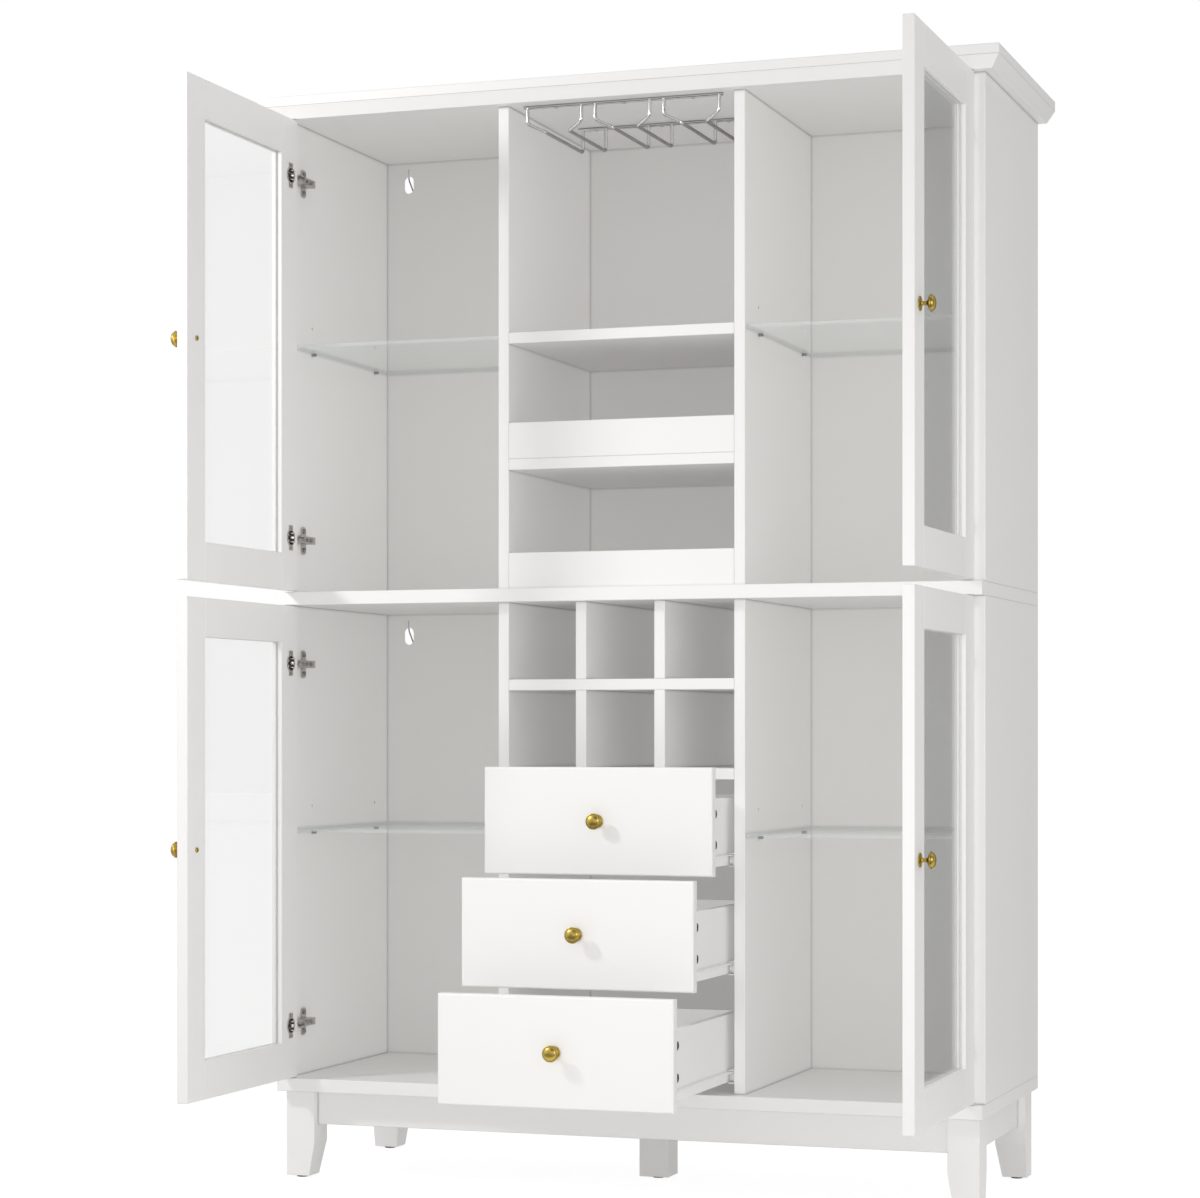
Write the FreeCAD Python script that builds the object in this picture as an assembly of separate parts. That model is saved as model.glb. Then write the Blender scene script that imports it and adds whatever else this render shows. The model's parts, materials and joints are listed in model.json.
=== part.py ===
import FreeCAD, Part
import math
import os

os.makedirs("parts", exist_ok=True)

# A tall white wine cabinet: three bays wide, two storeys high, on tapered legs.
# Millimetres. +Z is up and the doors face -Y. The origin is on the floor, under
# the middle of the centre leg. The doors stand open and the drawers are pulled
# out by steps, as in the photograph.

# Boards
board = 18.0
panel_thick = 22.0
top_panel_thick = 19.5
crown_thick = 16.0
back_thick = 5.0
edge_soft = 0.8
cut_over = 1.0

# Main body
body_width = 1192.0
panel_depth = 450.0
storey_height = 787.0
base_underside = 146.5
side_setback = 24.0
back_recess = 21.0
groove_depth = 6.0
groove_play = 0.4
centre_bay_width = 383.0

# Crown and cornice moulding
crown_overhang = 29.0
moulding_foot = 15.0
top_panel_reach = 6.0

# Centre bay, measured upwards
lower_cubby_height = 194.0
upper_cubby_height = 188.0
cubby_rail_height = 59.0
wine_floor_top = 686.5
wine_columns = 3
wine_rows = 2

# Legs, aprons and glides
leg_size = 51.0
leg_end_inset = 8.0
leg_front_inset = 21.0
leg_rear_inset = 16.0
taper_height = 56.0
taper_in = 10.0
apron_height = 57.0
apron_recess = 14.0
glide_height = 4.0
glide_radius = 10.0
glide_round = 1.4
glide_stem_radius = 3.0
glide_stem_length = 14.0
stem_play = 0.1

# Doors
door_thick = 18.0
door_height_gap = 2.0
door_back_gap = 3.0
door_end_reveal = 2.0
frame_width = 61.0
glass_thick = 4.0
glass_front_setback = 7.0
glass_bite = 8.0
glass_play = 0.4
open_angle = 90.0

# Door hinges
pivot_inset = 10.5
pivot_depth = 20.0
hinge_from_top = 95.0
hinge_from_bottom = 87.0
cup_radius = 13.0
cup_wall = 1.2
cup_depth = 11.5
cup_from_edge = 27.0
cup_rim = 1.5
cup_play = 0.1
flange_height = 41.5
flange_width = 15.0
flange_thick = 1.2
flange_screw_rise = 17.6
flange_screw_head_radius = 2.8
arm_height = 12.0
arm_depth = 12.0
arm_front = 14.0
arm_rear = 55.0
arm_wall = 2.2
prong_thick = 3.0
nose_clearance = 0.3
nose_tip_reach = 10.2
nose_outer_reach = 26.0
nose_bend_reach = 24.0
arm_bend_reach = 34.0
mount_plate_thick = 2.0
mount_wing_height = 45.5
mount_wing_round = 5.0
mount_wing_width = 17.0
mount_wing_setback = 40.0
mount_rib_height = 9.0
mount_rib_front = 18.0
mount_rib_rear = 51.0
mount_screw_rise = 16.0
nose_arc_steps = 8
adjuster_setbacks = (22.0, 38.0)
adjuster_head_radius = 3.2

# Knobs
knob_cap_radius = 12.7
knob_base_radius = 10.6
knob_neck_radius = 2.7
knob_reach = 24.0
knob_base_thick = 2.6
knob_cap_thick = 11.0
knob_screw_radius = 1.8
knob_screw_head_radius = 4.2
knob_screw_head_thick = 2.2
knob_screw_bite = 6.0
knob_dome_steps = 6
upper_knob_rise = 375.5
lower_knob_rise = 390.5

# Knob outline: each pair is a share of the part's radius and a share of its height
knob_base_shares = ((1.0, 0.0), (1.0, 0.33), (0.8, 1.0))
knob_neck_shares = ((1.5, 0.25), (1.0, 0.5), (1.25, 0.87))
knob_cap_shares = ((0.5, 0.0), (0.9, 0.14), (1.0, 0.4))

# Glass shelves and their pins
shelf_glass_thick = 6.0
shelf_glass_play = 1.2
shelf_front_setback = 5.0
shelf_back_gap = 2.0
shelf_rise = 408.5
pin_radius = 2.5
pin_length = 16.0
pin_sink = 8.0
pin_front_setback = 77.5
pin_rear_setback = 343.0
pin_hole_step = 45.0
pin_play = 0.05

# Wall-tie holes in the back boards
tie_hole_width = 19.0
tie_hole_height = 31.0
tie_hole_drop = 39.0
tie_hole_inset = 42.0
tie_slit_width = 2.0
tie_slit_height = 12.5

# Drawers
drawer_front_width = 380.0
drawer_front_height = 170.5
drawer_front_thick = 18.0
drawer_front_round = 3.0
drawer_gap = 2.0
drawer_base_gap = 5.0
drawer_door_gap = 3.0
box_side_gap = 12.5
box_board = 12.0
box_depth = 385.0
box_drop = 49.5
box_rise = 15.0
box_bottom_thick = 5.0
box_bottom_rise = 9.0
box_bottom_bite = 6.0
box_bottom_play = 0.3
box_corner_round = 6.0
cam_radius = 7.0
cam_depth = 9.0
cam_play = 0.1
cam_setback = 37.0
cam_slot_width = 2.0
cam_slot_depth = 1.2
cam_height_shares = (0.31, 0.77)
drawer_pulls = (93.0, 191.0, 290.0)
drawer_travel = 300.0

# Drawer runners
runner_sheet = 1.2
runner_play = 0.3
runner_channel_height = 19.0
runner_channel_drop = 2.0
runner_channel_gap = 1.3
runner_front_setback = 2.0
runner_foot_width = 14.0
runner_lip_drop = 1.2
front_roller_radius = 8.0
roller_setback = 14.0
roller_axle_radius = 2.5
roller_bore_play = 0.3
roller_boss_radius = 5.0

# Stemware rack
wire_radius = 2.75
rack_slot_pitch = 116.7
rack_slots = 3
rack_mouth_width = 93.0
rack_slot_width = 41.0
rack_front_setback = 12.0
rack_drop = 41.0
rack_shoulder_drop = 29.0
rack_flare_depth = 14.0
rack_length = 198.0
rack_bend_radius = 7.0
rack_front_overrun = 6.0
rack_rear_overrun = 8.0
tab_length = 20.0
tab_width = 12.0
tab_thick = 1.6

# Screws and dowels
screw_head_radius = 4.0
screw_head_thick = 2.0
screw_shank_radius = 1.7
screw_shank_length = 12.0
screw_play = 0.1
recess_length = 4.2
recess_width = 1.0
recess_depth = 1.0
dowel_radius = 4.0
dowel_length = 30.0
dowel_panel_bite = 10.0
dowel_setbacks = (60.0, 330.0)
dowel_play = 0.05

# Places worked out from the sizes above
half_width = body_width / 2
front_edge = -panel_depth / 2
rear_edge = panel_depth / 2
front_y = front_edge + side_setback
back_y = rear_edge - back_recess - back_thick
side_inner = half_width - board
bay_inner = centre_bay_width / 2
bay_outer = bay_inner + board

base_top = base_underside + panel_thick
mid_bottom = base_top + storey_height
mid_top = mid_bottom + panel_thick
top_bottom = mid_top + storey_height
crown_bottom = top_bottom + top_panel_thick
crown_top = crown_bottom + crown_thick
storeys = {"lower": (base_top, mid_bottom), "upper": (mid_top, top_bottom)}

lower_cubby_shelf = mid_top + lower_cubby_height
upper_cubby_shelf = lower_cubby_shelf + board + upper_cubby_height
wine_cell_height = (mid_bottom - wine_floor_top - (wine_rows - 1) * board) / wine_rows
wine_cell_width = (centre_bay_width - (wine_columns - 1) * board) / wine_columns

door_edge = half_width - door_end_reveal
door_width = door_edge - drawer_front_width / 2 - drawer_door_gap
door_back_y = front_y - door_back_gap
door_front_y = door_back_y - door_thick
pivot_x = door_edge - pivot_inset
pivot_y = door_back_y - pivot_depth
arm_outer = side_inner - mount_plate_thick - arm_wall
arm_inner = arm_outer - arm_depth

DOWN = FreeCAD.Vector(0, 0, -1)
UP = FreeCAD.Vector(0, 0, 1)
FORWARD = FreeCAD.Vector(0, -1, 0)
BACKWARD = FreeCAD.Vector(0, 1, 0)
RIGHTWARD = FreeCAD.Vector(1, 0, 0)


def point(x, y, z):
    return FreeCAD.Vector(x, y, z)


def save(name, solids):
    """Write one node: a single solid or a group of separate solids."""
    shape = solids[0] if len(solids) == 1 else Part.makeCompound(solids)
    shape.exportStep("parts/" + name + ".step")


def slab(x_pair, y_pair, z_pair):
    """A square-edged block between two X, two Y and two Z values."""
    low = [min(pair) for pair in (x_pair, y_pair, z_pair)]
    high = [max(pair) for pair in (x_pair, y_pair, z_pair)]
    size = [top - bottom for bottom, top in zip(low, high)]
    return Part.makeBox(size[0], size[1], size[2], point(*low))


def soft_slab(x_pair, y_pair, z_pair):
    """A board with every edge broken by a small chamfer."""
    block = slab(x_pair, y_pair, z_pair)
    return block.makeChamfer(edge_soft, block.Edges)


def rod(radius, length, start, direction):
    return Part.makeCylinder(radius, length, start, direction)


def prism(outline, base_z, height):
    """A flat outline of (x, y) points raised from base_z."""
    corners = [point(x, y, base_z) for x, y in outline]
    face = Part.Face(Part.makePolygon(corners + corners[:1]))
    return face.extrude(UP * height)


def lathe(outline, centre, direction):
    """Turn an outline of (radius, distance along the axis) points about the axis."""
    corners = [point(radius, 0, along) for radius, along in outline]
    face = Part.Face(Part.makePolygon(corners + corners[:1]))
    turned = face.revolve(point(0, 0, 0), UP, 360)
    turned.Placement = FreeCAD.Placement(centre, FreeCAD.Rotation(UP, direction))
    return turned


def cut_all(body, tools):
    """Take every tool that reaches the body out of it."""
    near = [tool for tool in tools if tool.BoundBox.intersect(body.BoundBox)]
    return body.cut(Part.makeCompound(near)).Solids[0] if near else body


# Dowels between the standing boards and the panels

def dowel_sites():
    """Start point and direction of each dowel: it starts inside the flat panel."""
    sites = []
    board_centres = (half_width - board / 2, bay_inner + board / 2)
    for side in (-1, 1):
        for centre in board_centres:
            for setback in dowel_setbacks:
                for floor_z, ceiling_z in storeys.values():
                    y = front_y + setback
                    sites.append((point(side * centre, y, floor_z - dowel_panel_bite), UP))
                    sites.append((point(side * centre, y, ceiling_z + dowel_panel_bite), DOWN))
    return sites


def dowel_bores():
    bores = []
    for start, direction in dowel_sites():
        mouth = start - direction * dowel_play
        bores.append(rod(dowel_radius + dowel_play, dowel_length + 2 * dowel_play, mouth, direction))
    return bores


# Screws

def screw(seat, outward, head_radius, shank_radius, shank_length):
    """A pan-head cross-recess screw. seat is on the face under its head."""
    head = rod(head_radius, screw_head_thick, seat, outward)
    rim = [edge for edge in head.Edges if edge.CenterOfMass.distanceToPoint(seat) > screw_head_thick / 2]
    head = head.makeFillet(screw_head_thick / 2, [edge for edge in rim if edge.isClosed()])
    body = head.fuse(rod(shank_radius, shank_length, seat, -outward))
    across = outward.cross(UP) if outward.z == 0 else RIGHTWARD
    for direction in (across, outward.cross(across)):
        slot = Part.makeBox(recess_length, recess_width, recess_depth + cut_over,
                            point(-recess_length / 2, -recess_width / 2, -recess_depth))
        turn = FreeCAD.Rotation(direction, outward.cross(direction), outward, "ZXY")
        slot.Placement = FreeCAD.Placement(seat + outward * screw_head_thick, turn)
        body = body.cut(slot)
    return body.Solids[0]


def screw_bore(seat, outward, shank_radius, shank_length):
    start = seat + outward * cut_over
    return rod(shank_radius + screw_play, shank_length + cut_over + screw_play, start, -outward)


# Standing boards and panels

def hinge_heights(storey):
    floor_z, ceiling_z = storeys[storey]
    return (floor_z + door_height_gap + hinge_from_bottom, ceiling_z - door_height_gap - hinge_from_top)


def shelf_bottom(storey):
    return storeys[storey][0] + shelf_rise


def pin_sites(storey):
    """Axis points on the board faces, and the direction into the bay, of the shelf pins."""
    sites = []
    for side in (-1, 1):
        for setback in (pin_front_setback, pin_rear_setback):
            y = front_y + setback
            z = shelf_bottom(storey) - pin_radius
            sites.append((point(side * side_inner, y, z), RIGHTWARD * -side))
            sites.append((point(side * bay_outer, y, z), RIGHTWARD * side))
    return sites


def pin_bores(storey):
    """Bores for the pins in use and for one higher row."""
    bores = []
    for mouth, inward in pin_sites(storey):
        for lift in (0, pin_hole_step):
            start = mouth + UP * lift + inward * cut_over
            bores.append(rod(pin_radius + pin_play, pin_sink + cut_over + pin_play, start, -inward))
    return bores


def side_panel(side, storey, bores):
    """An outer side panel, grooved for the back board."""
    x_pair = (side * side_inner, side * half_width)
    panel = soft_slab(x_pair, (front_y, rear_edge), storeys[storey])
    groove_x = (side * (side_inner - cut_over), side * (side_inner + groove_depth))
    groove_y = (back_y - groove_play, back_y + back_thick + groove_play)
    groove_z = (storeys[storey][0] - cut_over, storeys[storey][1] + cut_over)
    return cut_all(panel.cut(slab(groove_x, groove_y, groove_z)), bores)


def partition(side, storey, bores):
    wall = soft_slab((side * bay_inner, side * bay_outer), (front_y, back_y), storeys[storey])
    return cut_all(wall, bores)


def flat_panel(z_low, thickness, bores):
    panel = soft_slab((-half_width, half_width), (front_edge, rear_edge), (z_low, z_low + thickness))
    return cut_all(panel, bores)


def top_panel(bores):
    y_pair = (front_y - top_panel_reach, rear_edge)
    panel = soft_slab((-half_width, half_width), y_pair, (top_bottom, crown_bottom))
    return cut_all(panel, bores)


def crown_board():
    reach = half_width + crown_overhang
    y_pair = (front_y - top_panel_reach - crown_overhang, rear_edge)
    return soft_slab((-reach, reach), y_pair, (crown_bottom, crown_top))


def moulding_profile(x_side, y_inner, x_reach_sign, y_reach_sign):
    """The bevelled moulding's section, pushed out sideways, forwards or both for a mitre."""
    section = ((0, top_bottom), (moulding_foot, top_bottom),
               (crown_overhang, crown_bottom), (0, crown_bottom))
    corners = [point(x_side + out * x_reach_sign, y_inner + out * y_reach_sign, z) for out, z in section]
    return Part.makePolygon(corners + corners[:1])


def cornice_moulding():
    """Three bevelled strips under the crown board, mitred at the front corners."""
    mitre_y = front_y - top_panel_reach
    left_mitre = moulding_profile(-half_width, mitre_y, -1, -1)
    right_mitre = moulding_profile(half_width, mitre_y, 1, -1)
    left_end = moulding_profile(-half_width, rear_edge, -1, 0)
    right_end = moulding_profile(half_width, rear_edge, 1, 0)
    pairs = ((left_mitre, right_mitre), (left_mitre, left_end), (right_mitre, right_end))
    return [Part.makeLoft(list(pair), True, True) for pair in pairs]


def tie_hole(side, storey):
    """An egg-shaped hole with a narrow slit above it, through the back board."""
    x = side * (side_inner - tie_hole_inset)
    z = storeys[storey][1] - tie_hole_drop
    start_y = back_y - cut_over
    length = back_thick + 2 * cut_over
    lobe_radius = tie_hole_width / 2
    rise = tie_hole_height / 2 - lobe_radius
    lobes = [rod(lobe_radius, length, point(x, start_y, z + lift), BACKWARD) for lift in (-rise, rise)]
    middle = slab((x - lobe_radius, x + lobe_radius), (start_y, start_y + length), (z - rise, z + rise))
    slit_x = (x - tie_slit_width / 2, x + tie_slit_width / 2)
    slit_top = z + tie_hole_height / 2 + tie_slit_height
    slit = slab(slit_x, (start_y, start_y + length), (z, slit_top))
    return lobes[0].fuse([lobes[1], middle, slit])


def back_board(storey):
    reach = side_inner + groove_depth - groove_play
    sheet = slab((-reach, reach), (back_y, back_y + back_thick), storeys[storey])
    return sheet.cut([tie_hole(side, storey) for side in (-1, 1)]).Solids[0]


# Centre bay

def bay_board(z_low):
    return soft_slab((-bay_inner, bay_inner), (front_y, back_y), (z_low, z_low + board))


def cubby_rail(z_low):
    return soft_slab((-bay_inner, bay_inner), (front_y, front_y + board), (z_low, z_low + cubby_rail_height))


def wine_shelf_heights():
    return [wine_floor_top + row * (wine_cell_height + board) - board for row in range(wine_rows)]


def wine_dividers():
    dividers = []
    for shelf_z in wine_shelf_heights():
        for column in range(1, wine_columns):
            left = -bay_inner + column * (wine_cell_width + board) - board
            z_pair = (shelf_z + board, shelf_z + board + wine_cell_height)
            dividers.append(soft_slab((left, left + board), (front_y, back_y), z_pair))
    return dividers


# Legs and aprons

def tapered_leg(side, y_outer, depth_sign):
    """A square leg whose two inner faces taper below the apron."""
    outer_x = side * (half_width - leg_end_inset)
    inner_x = outer_x - side * leg_size
    inner_y = y_outer + depth_sign * leg_size
    foot_z = glide_height
    knee_z = foot_z + taper_height
    shank = slab((outer_x, inner_x), (y_outer, inner_y), (knee_z, base_underside))
    knee = Part.makePolygon([point(x, y, knee_z) for x, y in
                             ((outer_x, y_outer), (inner_x, y_outer), (inner_x, inner_y),
                              (outer_x, inner_y), (outer_x, y_outer))])
    toe_x = inner_x + side * taper_in
    toe_y = inner_y - depth_sign * taper_in
    toe = Part.makePolygon([point(x, y, foot_z) for x, y in
                            ((outer_x, y_outer), (toe_x, y_outer), (toe_x, toe_y),
                             (outer_x, toe_y), (outer_x, y_outer))])
    leg = shank.fuse(Part.makeLoft([toe, knee], True, True)).removeSplitter()
    outer_edges = [edge for edge in leg.Edges if is_upright_at(edge, outer_x, y_outer)]
    leg = leg.makeChamfer(edge_soft, outer_edges)
    return leg.cut(glide_bore((outer_x + toe_x) / 2, (y_outer + toe_y) / 2)).Solids[0]


def is_upright_at(edge, x, y):
    ends = [vertex.Point for vertex in edge.Vertexes]
    return all(abs(end.x - x) < edge_soft and abs(end.y - y) < edge_soft for end in ends)


def corner_leg_places():
    """Side, outer Y and the direction of the inner face, for each corner leg."""
    places = []
    for side in (-1, 1):
        places.append((side, front_edge + leg_front_inset, 1))
        places.append((side, rear_edge - leg_rear_inset, -1))
    return places


def glide_places():
    centres = [(0, 0)]
    for side, y_outer, depth_sign in corner_leg_places():
        toe = leg_size - taper_in
        centres.append((side * (half_width - leg_end_inset - toe / 2), y_outer + depth_sign * toe / 2))
    return centres


def glide(x, y):
    """A round plastic foot with its stem."""
    disc = rod(glide_radius, glide_height, point(x, y, 0), UP)
    rim = [edge for edge in disc.Edges if edge.isClosed() and edge.CenterOfMass.z < glide_height / 2]
    disc = disc.makeFillet(glide_round, rim)
    return disc.fuse(rod(glide_stem_radius, glide_stem_length, point(x, y, glide_height), UP)).Solids[0]


def glide_bore(x, y):
    start = point(x, y, glide_height - cut_over)
    return rod(glide_stem_radius + stem_play, glide_stem_length + cut_over + stem_play, start, UP)


def centre_leg():
    half = leg_size / 2
    leg = soft_slab((-half, half), (-half, half), (glide_height, base_underside))
    return leg.cut(glide_bore(0, 0)).Solids[0]


def aprons():
    """Four rails between the corner legs, set back from their outer faces."""
    z_pair = (base_underside - apron_height, base_underside)
    leg_outer = half_width - leg_end_inset
    leg_inner = leg_outer - leg_size
    front_outer = front_edge + leg_front_inset
    rear_outer = rear_edge - leg_rear_inset
    front_rail = (front_outer + apron_recess, front_outer + apron_recess + board)
    rear_rail = (rear_outer - apron_recess - board, rear_outer - apron_recess)
    rails = [soft_slab((-leg_inner, leg_inner), y_pair, z_pair) for y_pair in (front_rail, rear_rail)]
    between_legs = (front_outer + leg_size, rear_outer - leg_size)
    for side in (-1, 1):
        x_pair = (side * (leg_outer - apron_recess - board), side * (leg_outer - apron_recess))
        rails.append(soft_slab(x_pair, between_legs, z_pair))
    return rails


# Glass shelves

def glass_shelf(side, storey):
    x_pair = (side * (bay_outer + shelf_glass_play), side * (side_inner - shelf_glass_play))
    y_pair = (front_y + shelf_front_setback, back_y - shelf_back_gap)
    z_low = shelf_bottom(storey)
    return soft_slab(x_pair, y_pair, (z_low, z_low + shelf_glass_thick))


def shelf_pin(mouth, inward):
    return rod(pin_radius, pin_length, mouth - inward * pin_sink, inward)


# Stemware rack

def wire_run(points):
    """One round wire bent through the given points."""
    edges = []
    start = points[0]
    for before, corner, after in zip(points, points[1:], points[2:]):
        back = (before - corner).normalize()
        ahead = (after - corner).normalize()
        half_turn = (math.pi - back.getAngle(ahead)) / 2
        trim = rack_bend_radius * math.tan(half_turn)
        bisector = (back + ahead).normalize()
        first = corner + back * trim
        last = corner + ahead * trim
        reach = rack_bend_radius / math.cos(half_turn) - rack_bend_radius
        edges.append(Part.LineSegment(start, first).toShape())
        edges.append(Part.Arc(first, corner + bisector * reach, last).toShape())
        start = last
    edges.append(Part.LineSegment(start, points[-1]).toShape())
    path = Part.Wire(edges)
    direction = (points[1] - points[0]).normalize()
    ring = Part.Wire(Part.makeCircle(wire_radius, points[0], direction))
    return path.makePipeShell([ring], True, False)


def slot_centres():
    middle = (rack_slots - 1) / 2
    return [(index - middle) * rack_slot_pitch for index in range(rack_slots)]


def rack_rail(slot_x, side):
    """Down from the front bar, in to the slot, back along it, and up to the rear bar."""
    bar_z = top_bottom - wire_radius
    mouth_x = slot_x + side * rack_mouth_width / 2
    rail_x = slot_x + side * rack_slot_width / 2
    front = front_y + rack_front_setback
    rear = front + rack_length
    rail_z = top_bottom - rack_drop
    return wire_run([point(mouth_x, front, bar_z - wire_radius),
                     point(mouth_x, front, top_bottom - rack_shoulder_drop),
                     point(rail_x, front + rack_flare_depth, rail_z),
                     point(rail_x, rear, rail_z),
                     point(rail_x, rear, bar_z - wire_radius)])


def rack_bar(y, half_length):
    start = point(-half_length, y, top_bottom - wire_radius)
    return rod(wire_radius, 2 * half_length, start, RIGHTWARD)


def rack_bars():
    front = front_y + rack_front_setback
    span = (rack_slots - 1) * rack_slot_pitch
    return ((front, (span + rack_mouth_width) / 2 + rack_front_overrun),
            (front + rack_length, (span + rack_slot_width) / 2 + rack_rear_overrun))


def tab_seats():
    """Underside centre of each screw tab, just behind its bar."""
    seats = []
    for y, _ in rack_bars():
        for slot_x in slot_centres():
            seats.append(point(slot_x, y + wire_radius + tab_width / 2, top_bottom - tab_thick))
    return seats


def rack_tab(seat):
    x_pair = (seat.x - tab_length / 2, seat.x + tab_length / 2)
    y_pair = (seat.y - tab_width / 2, seat.y + tab_width / 2)
    plate = slab(x_pair, y_pair, (seat.z, seat.z + tab_thick))
    return plate.cut(screw_bore(seat, DOWN, screw_shank_radius, tab_thick + cut_over)).Solids[0]


def stemware_rack():
    wires = [rack_rail(slot_x, side) for slot_x in slot_centres() for side in (-1, 1)]
    bars = [rack_bar(y, half_length) for y, half_length in rack_bars()]
    return wires + bars + [rack_tab(seat) for seat in tab_seats()]


# Hinge parts on the cabinet

def arm_outline(side):
    """The hinge arm from above: a cranked bar that ends just clear of the turning door edge."""
    clear_radius = math.hypot(pivot_inset, pivot_depth) + nose_clearance
    start_angle = math.asin(nose_tip_reach / clear_radius)
    end_angle = math.acos((pivot_x - arm_outer) / clear_radius)
    arc = []
    for step in range(nose_arc_steps + 1):
        angle = start_angle + (end_angle - start_angle) * step / nose_arc_steps
        arc.append((pivot_x - clear_radius * math.cos(angle), pivot_y + clear_radius * math.sin(angle)))
    outer = [(arm_outer, front_y + arm_rear), (arm_inner, front_y + arm_rear),
             (arm_inner, pivot_y + arm_bend_reach), (pivot_x - nose_outer_reach, pivot_y + nose_bend_reach),
             (pivot_x - nose_outer_reach, pivot_y + nose_tip_reach)]
    return [(side * x, y) for x, y in outer + arc]


def hinge_arm(side, z):
    """A folded steel arm, forked at the nose and hollow on the side of its mounting plate."""
    arm = prism(arm_outline(side), z - arm_height / 2, arm_height)
    gap = arm_height / 2 - prong_thick
    fork = slab((side * (pivot_x - nose_outer_reach - cut_over), side * half_width),
                (pivot_y, front_y + arm_front - arm_wall), (z - gap, z + gap))
    hollow = slab((side * (arm_inner + arm_wall), side * (arm_outer + cut_over)),
                  (front_y + arm_front, front_y + arm_rear - arm_wall),
                  (z - arm_height / 2 + arm_wall, z + arm_height / 2 - arm_wall))
    arm = arm.cut([fork, hollow])
    bores = [screw_bore(seat, outward, screw_shank_radius, arm_wall + cut_over)
             for seat, outward in adjuster_seats(side, z)]
    return arm.cut(bores).Solids[0]


def mount_plate(side, z):
    """A cross-shaped plate screwed to the side panel, with a rib that fills the arm."""
    plate_x = (side * side_inner, side * (side_inner - mount_plate_thick))
    wing_y = front_y + mount_wing_setback
    wings = slab(plate_x, (wing_y - mount_wing_width / 2, wing_y + mount_wing_width / 2),
                 (z - mount_wing_height / 2, z + mount_wing_height / 2))
    corners = [edge for edge in wings.Edges if edge.Length <= mount_plate_thick + edge_soft]
    wings = wings.makeFillet(mount_wing_round, corners)
    rib_y = (front_y + mount_rib_front, front_y + mount_rib_rear)
    rib_z = (z - mount_rib_height / 2, z + mount_rib_height / 2)
    spine = slab(plate_x, rib_y, rib_z)
    pad = slab((side * (side_inner - mount_plate_thick), side * arm_outer), rib_y,
               (z - arm_height / 2, z + arm_height / 2))
    plate = wings.fuse([spine, pad]).removeSplitter()
    bores = [screw_bore(seat, outward, screw_shank_radius, mount_plate_thick + cut_over)
             for seat, outward in mount_screw_seats(side, z)]
    return plate.cut(bores).Solids[0]


def mount_screw_seats(side, z):
    x = side * (side_inner - mount_plate_thick)
    y = front_y + mount_wing_setback
    return [(point(x, y, z + rise), RIGHTWARD * -side) for rise in (-mount_screw_rise, mount_screw_rise)]


def adjuster_seats(side, z):
    return [(point(side * arm_inner, front_y + setback, z), RIGHTWARD * -side)
            for setback in adjuster_setbacks]


# Doors, built closed on the right or left and then swung open

def swing_open(shape, side):
    turned = shape.copy()
    turned.rotate(point(side * pivot_x, pivot_y, 0), UP, side * open_angle)
    return turned


def door_spans(side, storey):
    x_pair = (side * (door_edge - door_width), side * door_edge)
    floor_z, ceiling_z = storeys[storey]
    return x_pair, (floor_z + door_height_gap, ceiling_z - door_height_gap)


def door_glass_slab(side, storey, play):
    """The pane, or with play the pocket that it sits in."""
    x_pair, z_pair = door_spans(side, storey)
    inset = frame_width - glass_bite + glass_play - play
    x_low, x_high = min(x_pair) + inset, max(x_pair) - inset
    y_front = door_front_y + glass_front_setback
    return slab((x_low, x_high), (y_front - play / 2, y_front + glass_thick + play / 2),
                (z_pair[0] + inset, z_pair[1] - inset))


def cup_centre(side, z):
    return point(side * (door_edge - cup_from_edge), door_back_y, z)


def knob_centre(side, storey):
    rise = upper_knob_rise if storey == "upper" else lower_knob_rise
    x = side * (door_edge - door_width + frame_width / 2)
    return point(x, door_front_y, storeys[storey][0] + door_height_gap + rise)


def door_frame(side, storey):
    """Two stiles and two rails, grooved for the glass and bored for hinges and knob."""
    x_pair, z_pair = door_spans(side, storey)
    y_pair = (door_front_y, door_back_y)
    x_low, x_high = min(x_pair), max(x_pair)
    pieces = [soft_slab((x_low, x_low + frame_width), y_pair, z_pair),
              soft_slab((x_high - frame_width, x_high), y_pair, z_pair)]
    between = (x_low + frame_width, x_high - frame_width)
    pieces.append(soft_slab(between, y_pair, (z_pair[0], z_pair[0] + frame_width)))
    pieces.append(soft_slab(between, y_pair, (z_pair[1] - frame_width, z_pair[1])))
    tools = [door_glass_slab(side, storey, glass_play)]
    for z in hinge_heights(storey):
        mouth = cup_centre(side, z) + BACKWARD * cut_over
        tools.append(rod(cup_radius + cup_play, cup_depth + cup_play + cut_over, mouth, FORWARD))
        for seat in flange_screw_seats(side, z):
            tools.append(screw_bore(seat + FORWARD * flange_thick, BACKWARD, screw_shank_radius, cup_depth))
    bore_start = knob_centre(side, storey) + FORWARD * cut_over
    tools.append(rod(knob_screw_radius + screw_play, door_thick + 2 * cut_over, bore_start, BACKWARD))
    return [swing_open(cut_all(piece, tools), side) for piece in pieces]


def flange_screw_seats(side, z):
    seat = cup_centre(side, z) + BACKWARD * flange_thick
    return [seat + UP * rise for rise in (-flange_screw_rise, flange_screw_rise)]


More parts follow.
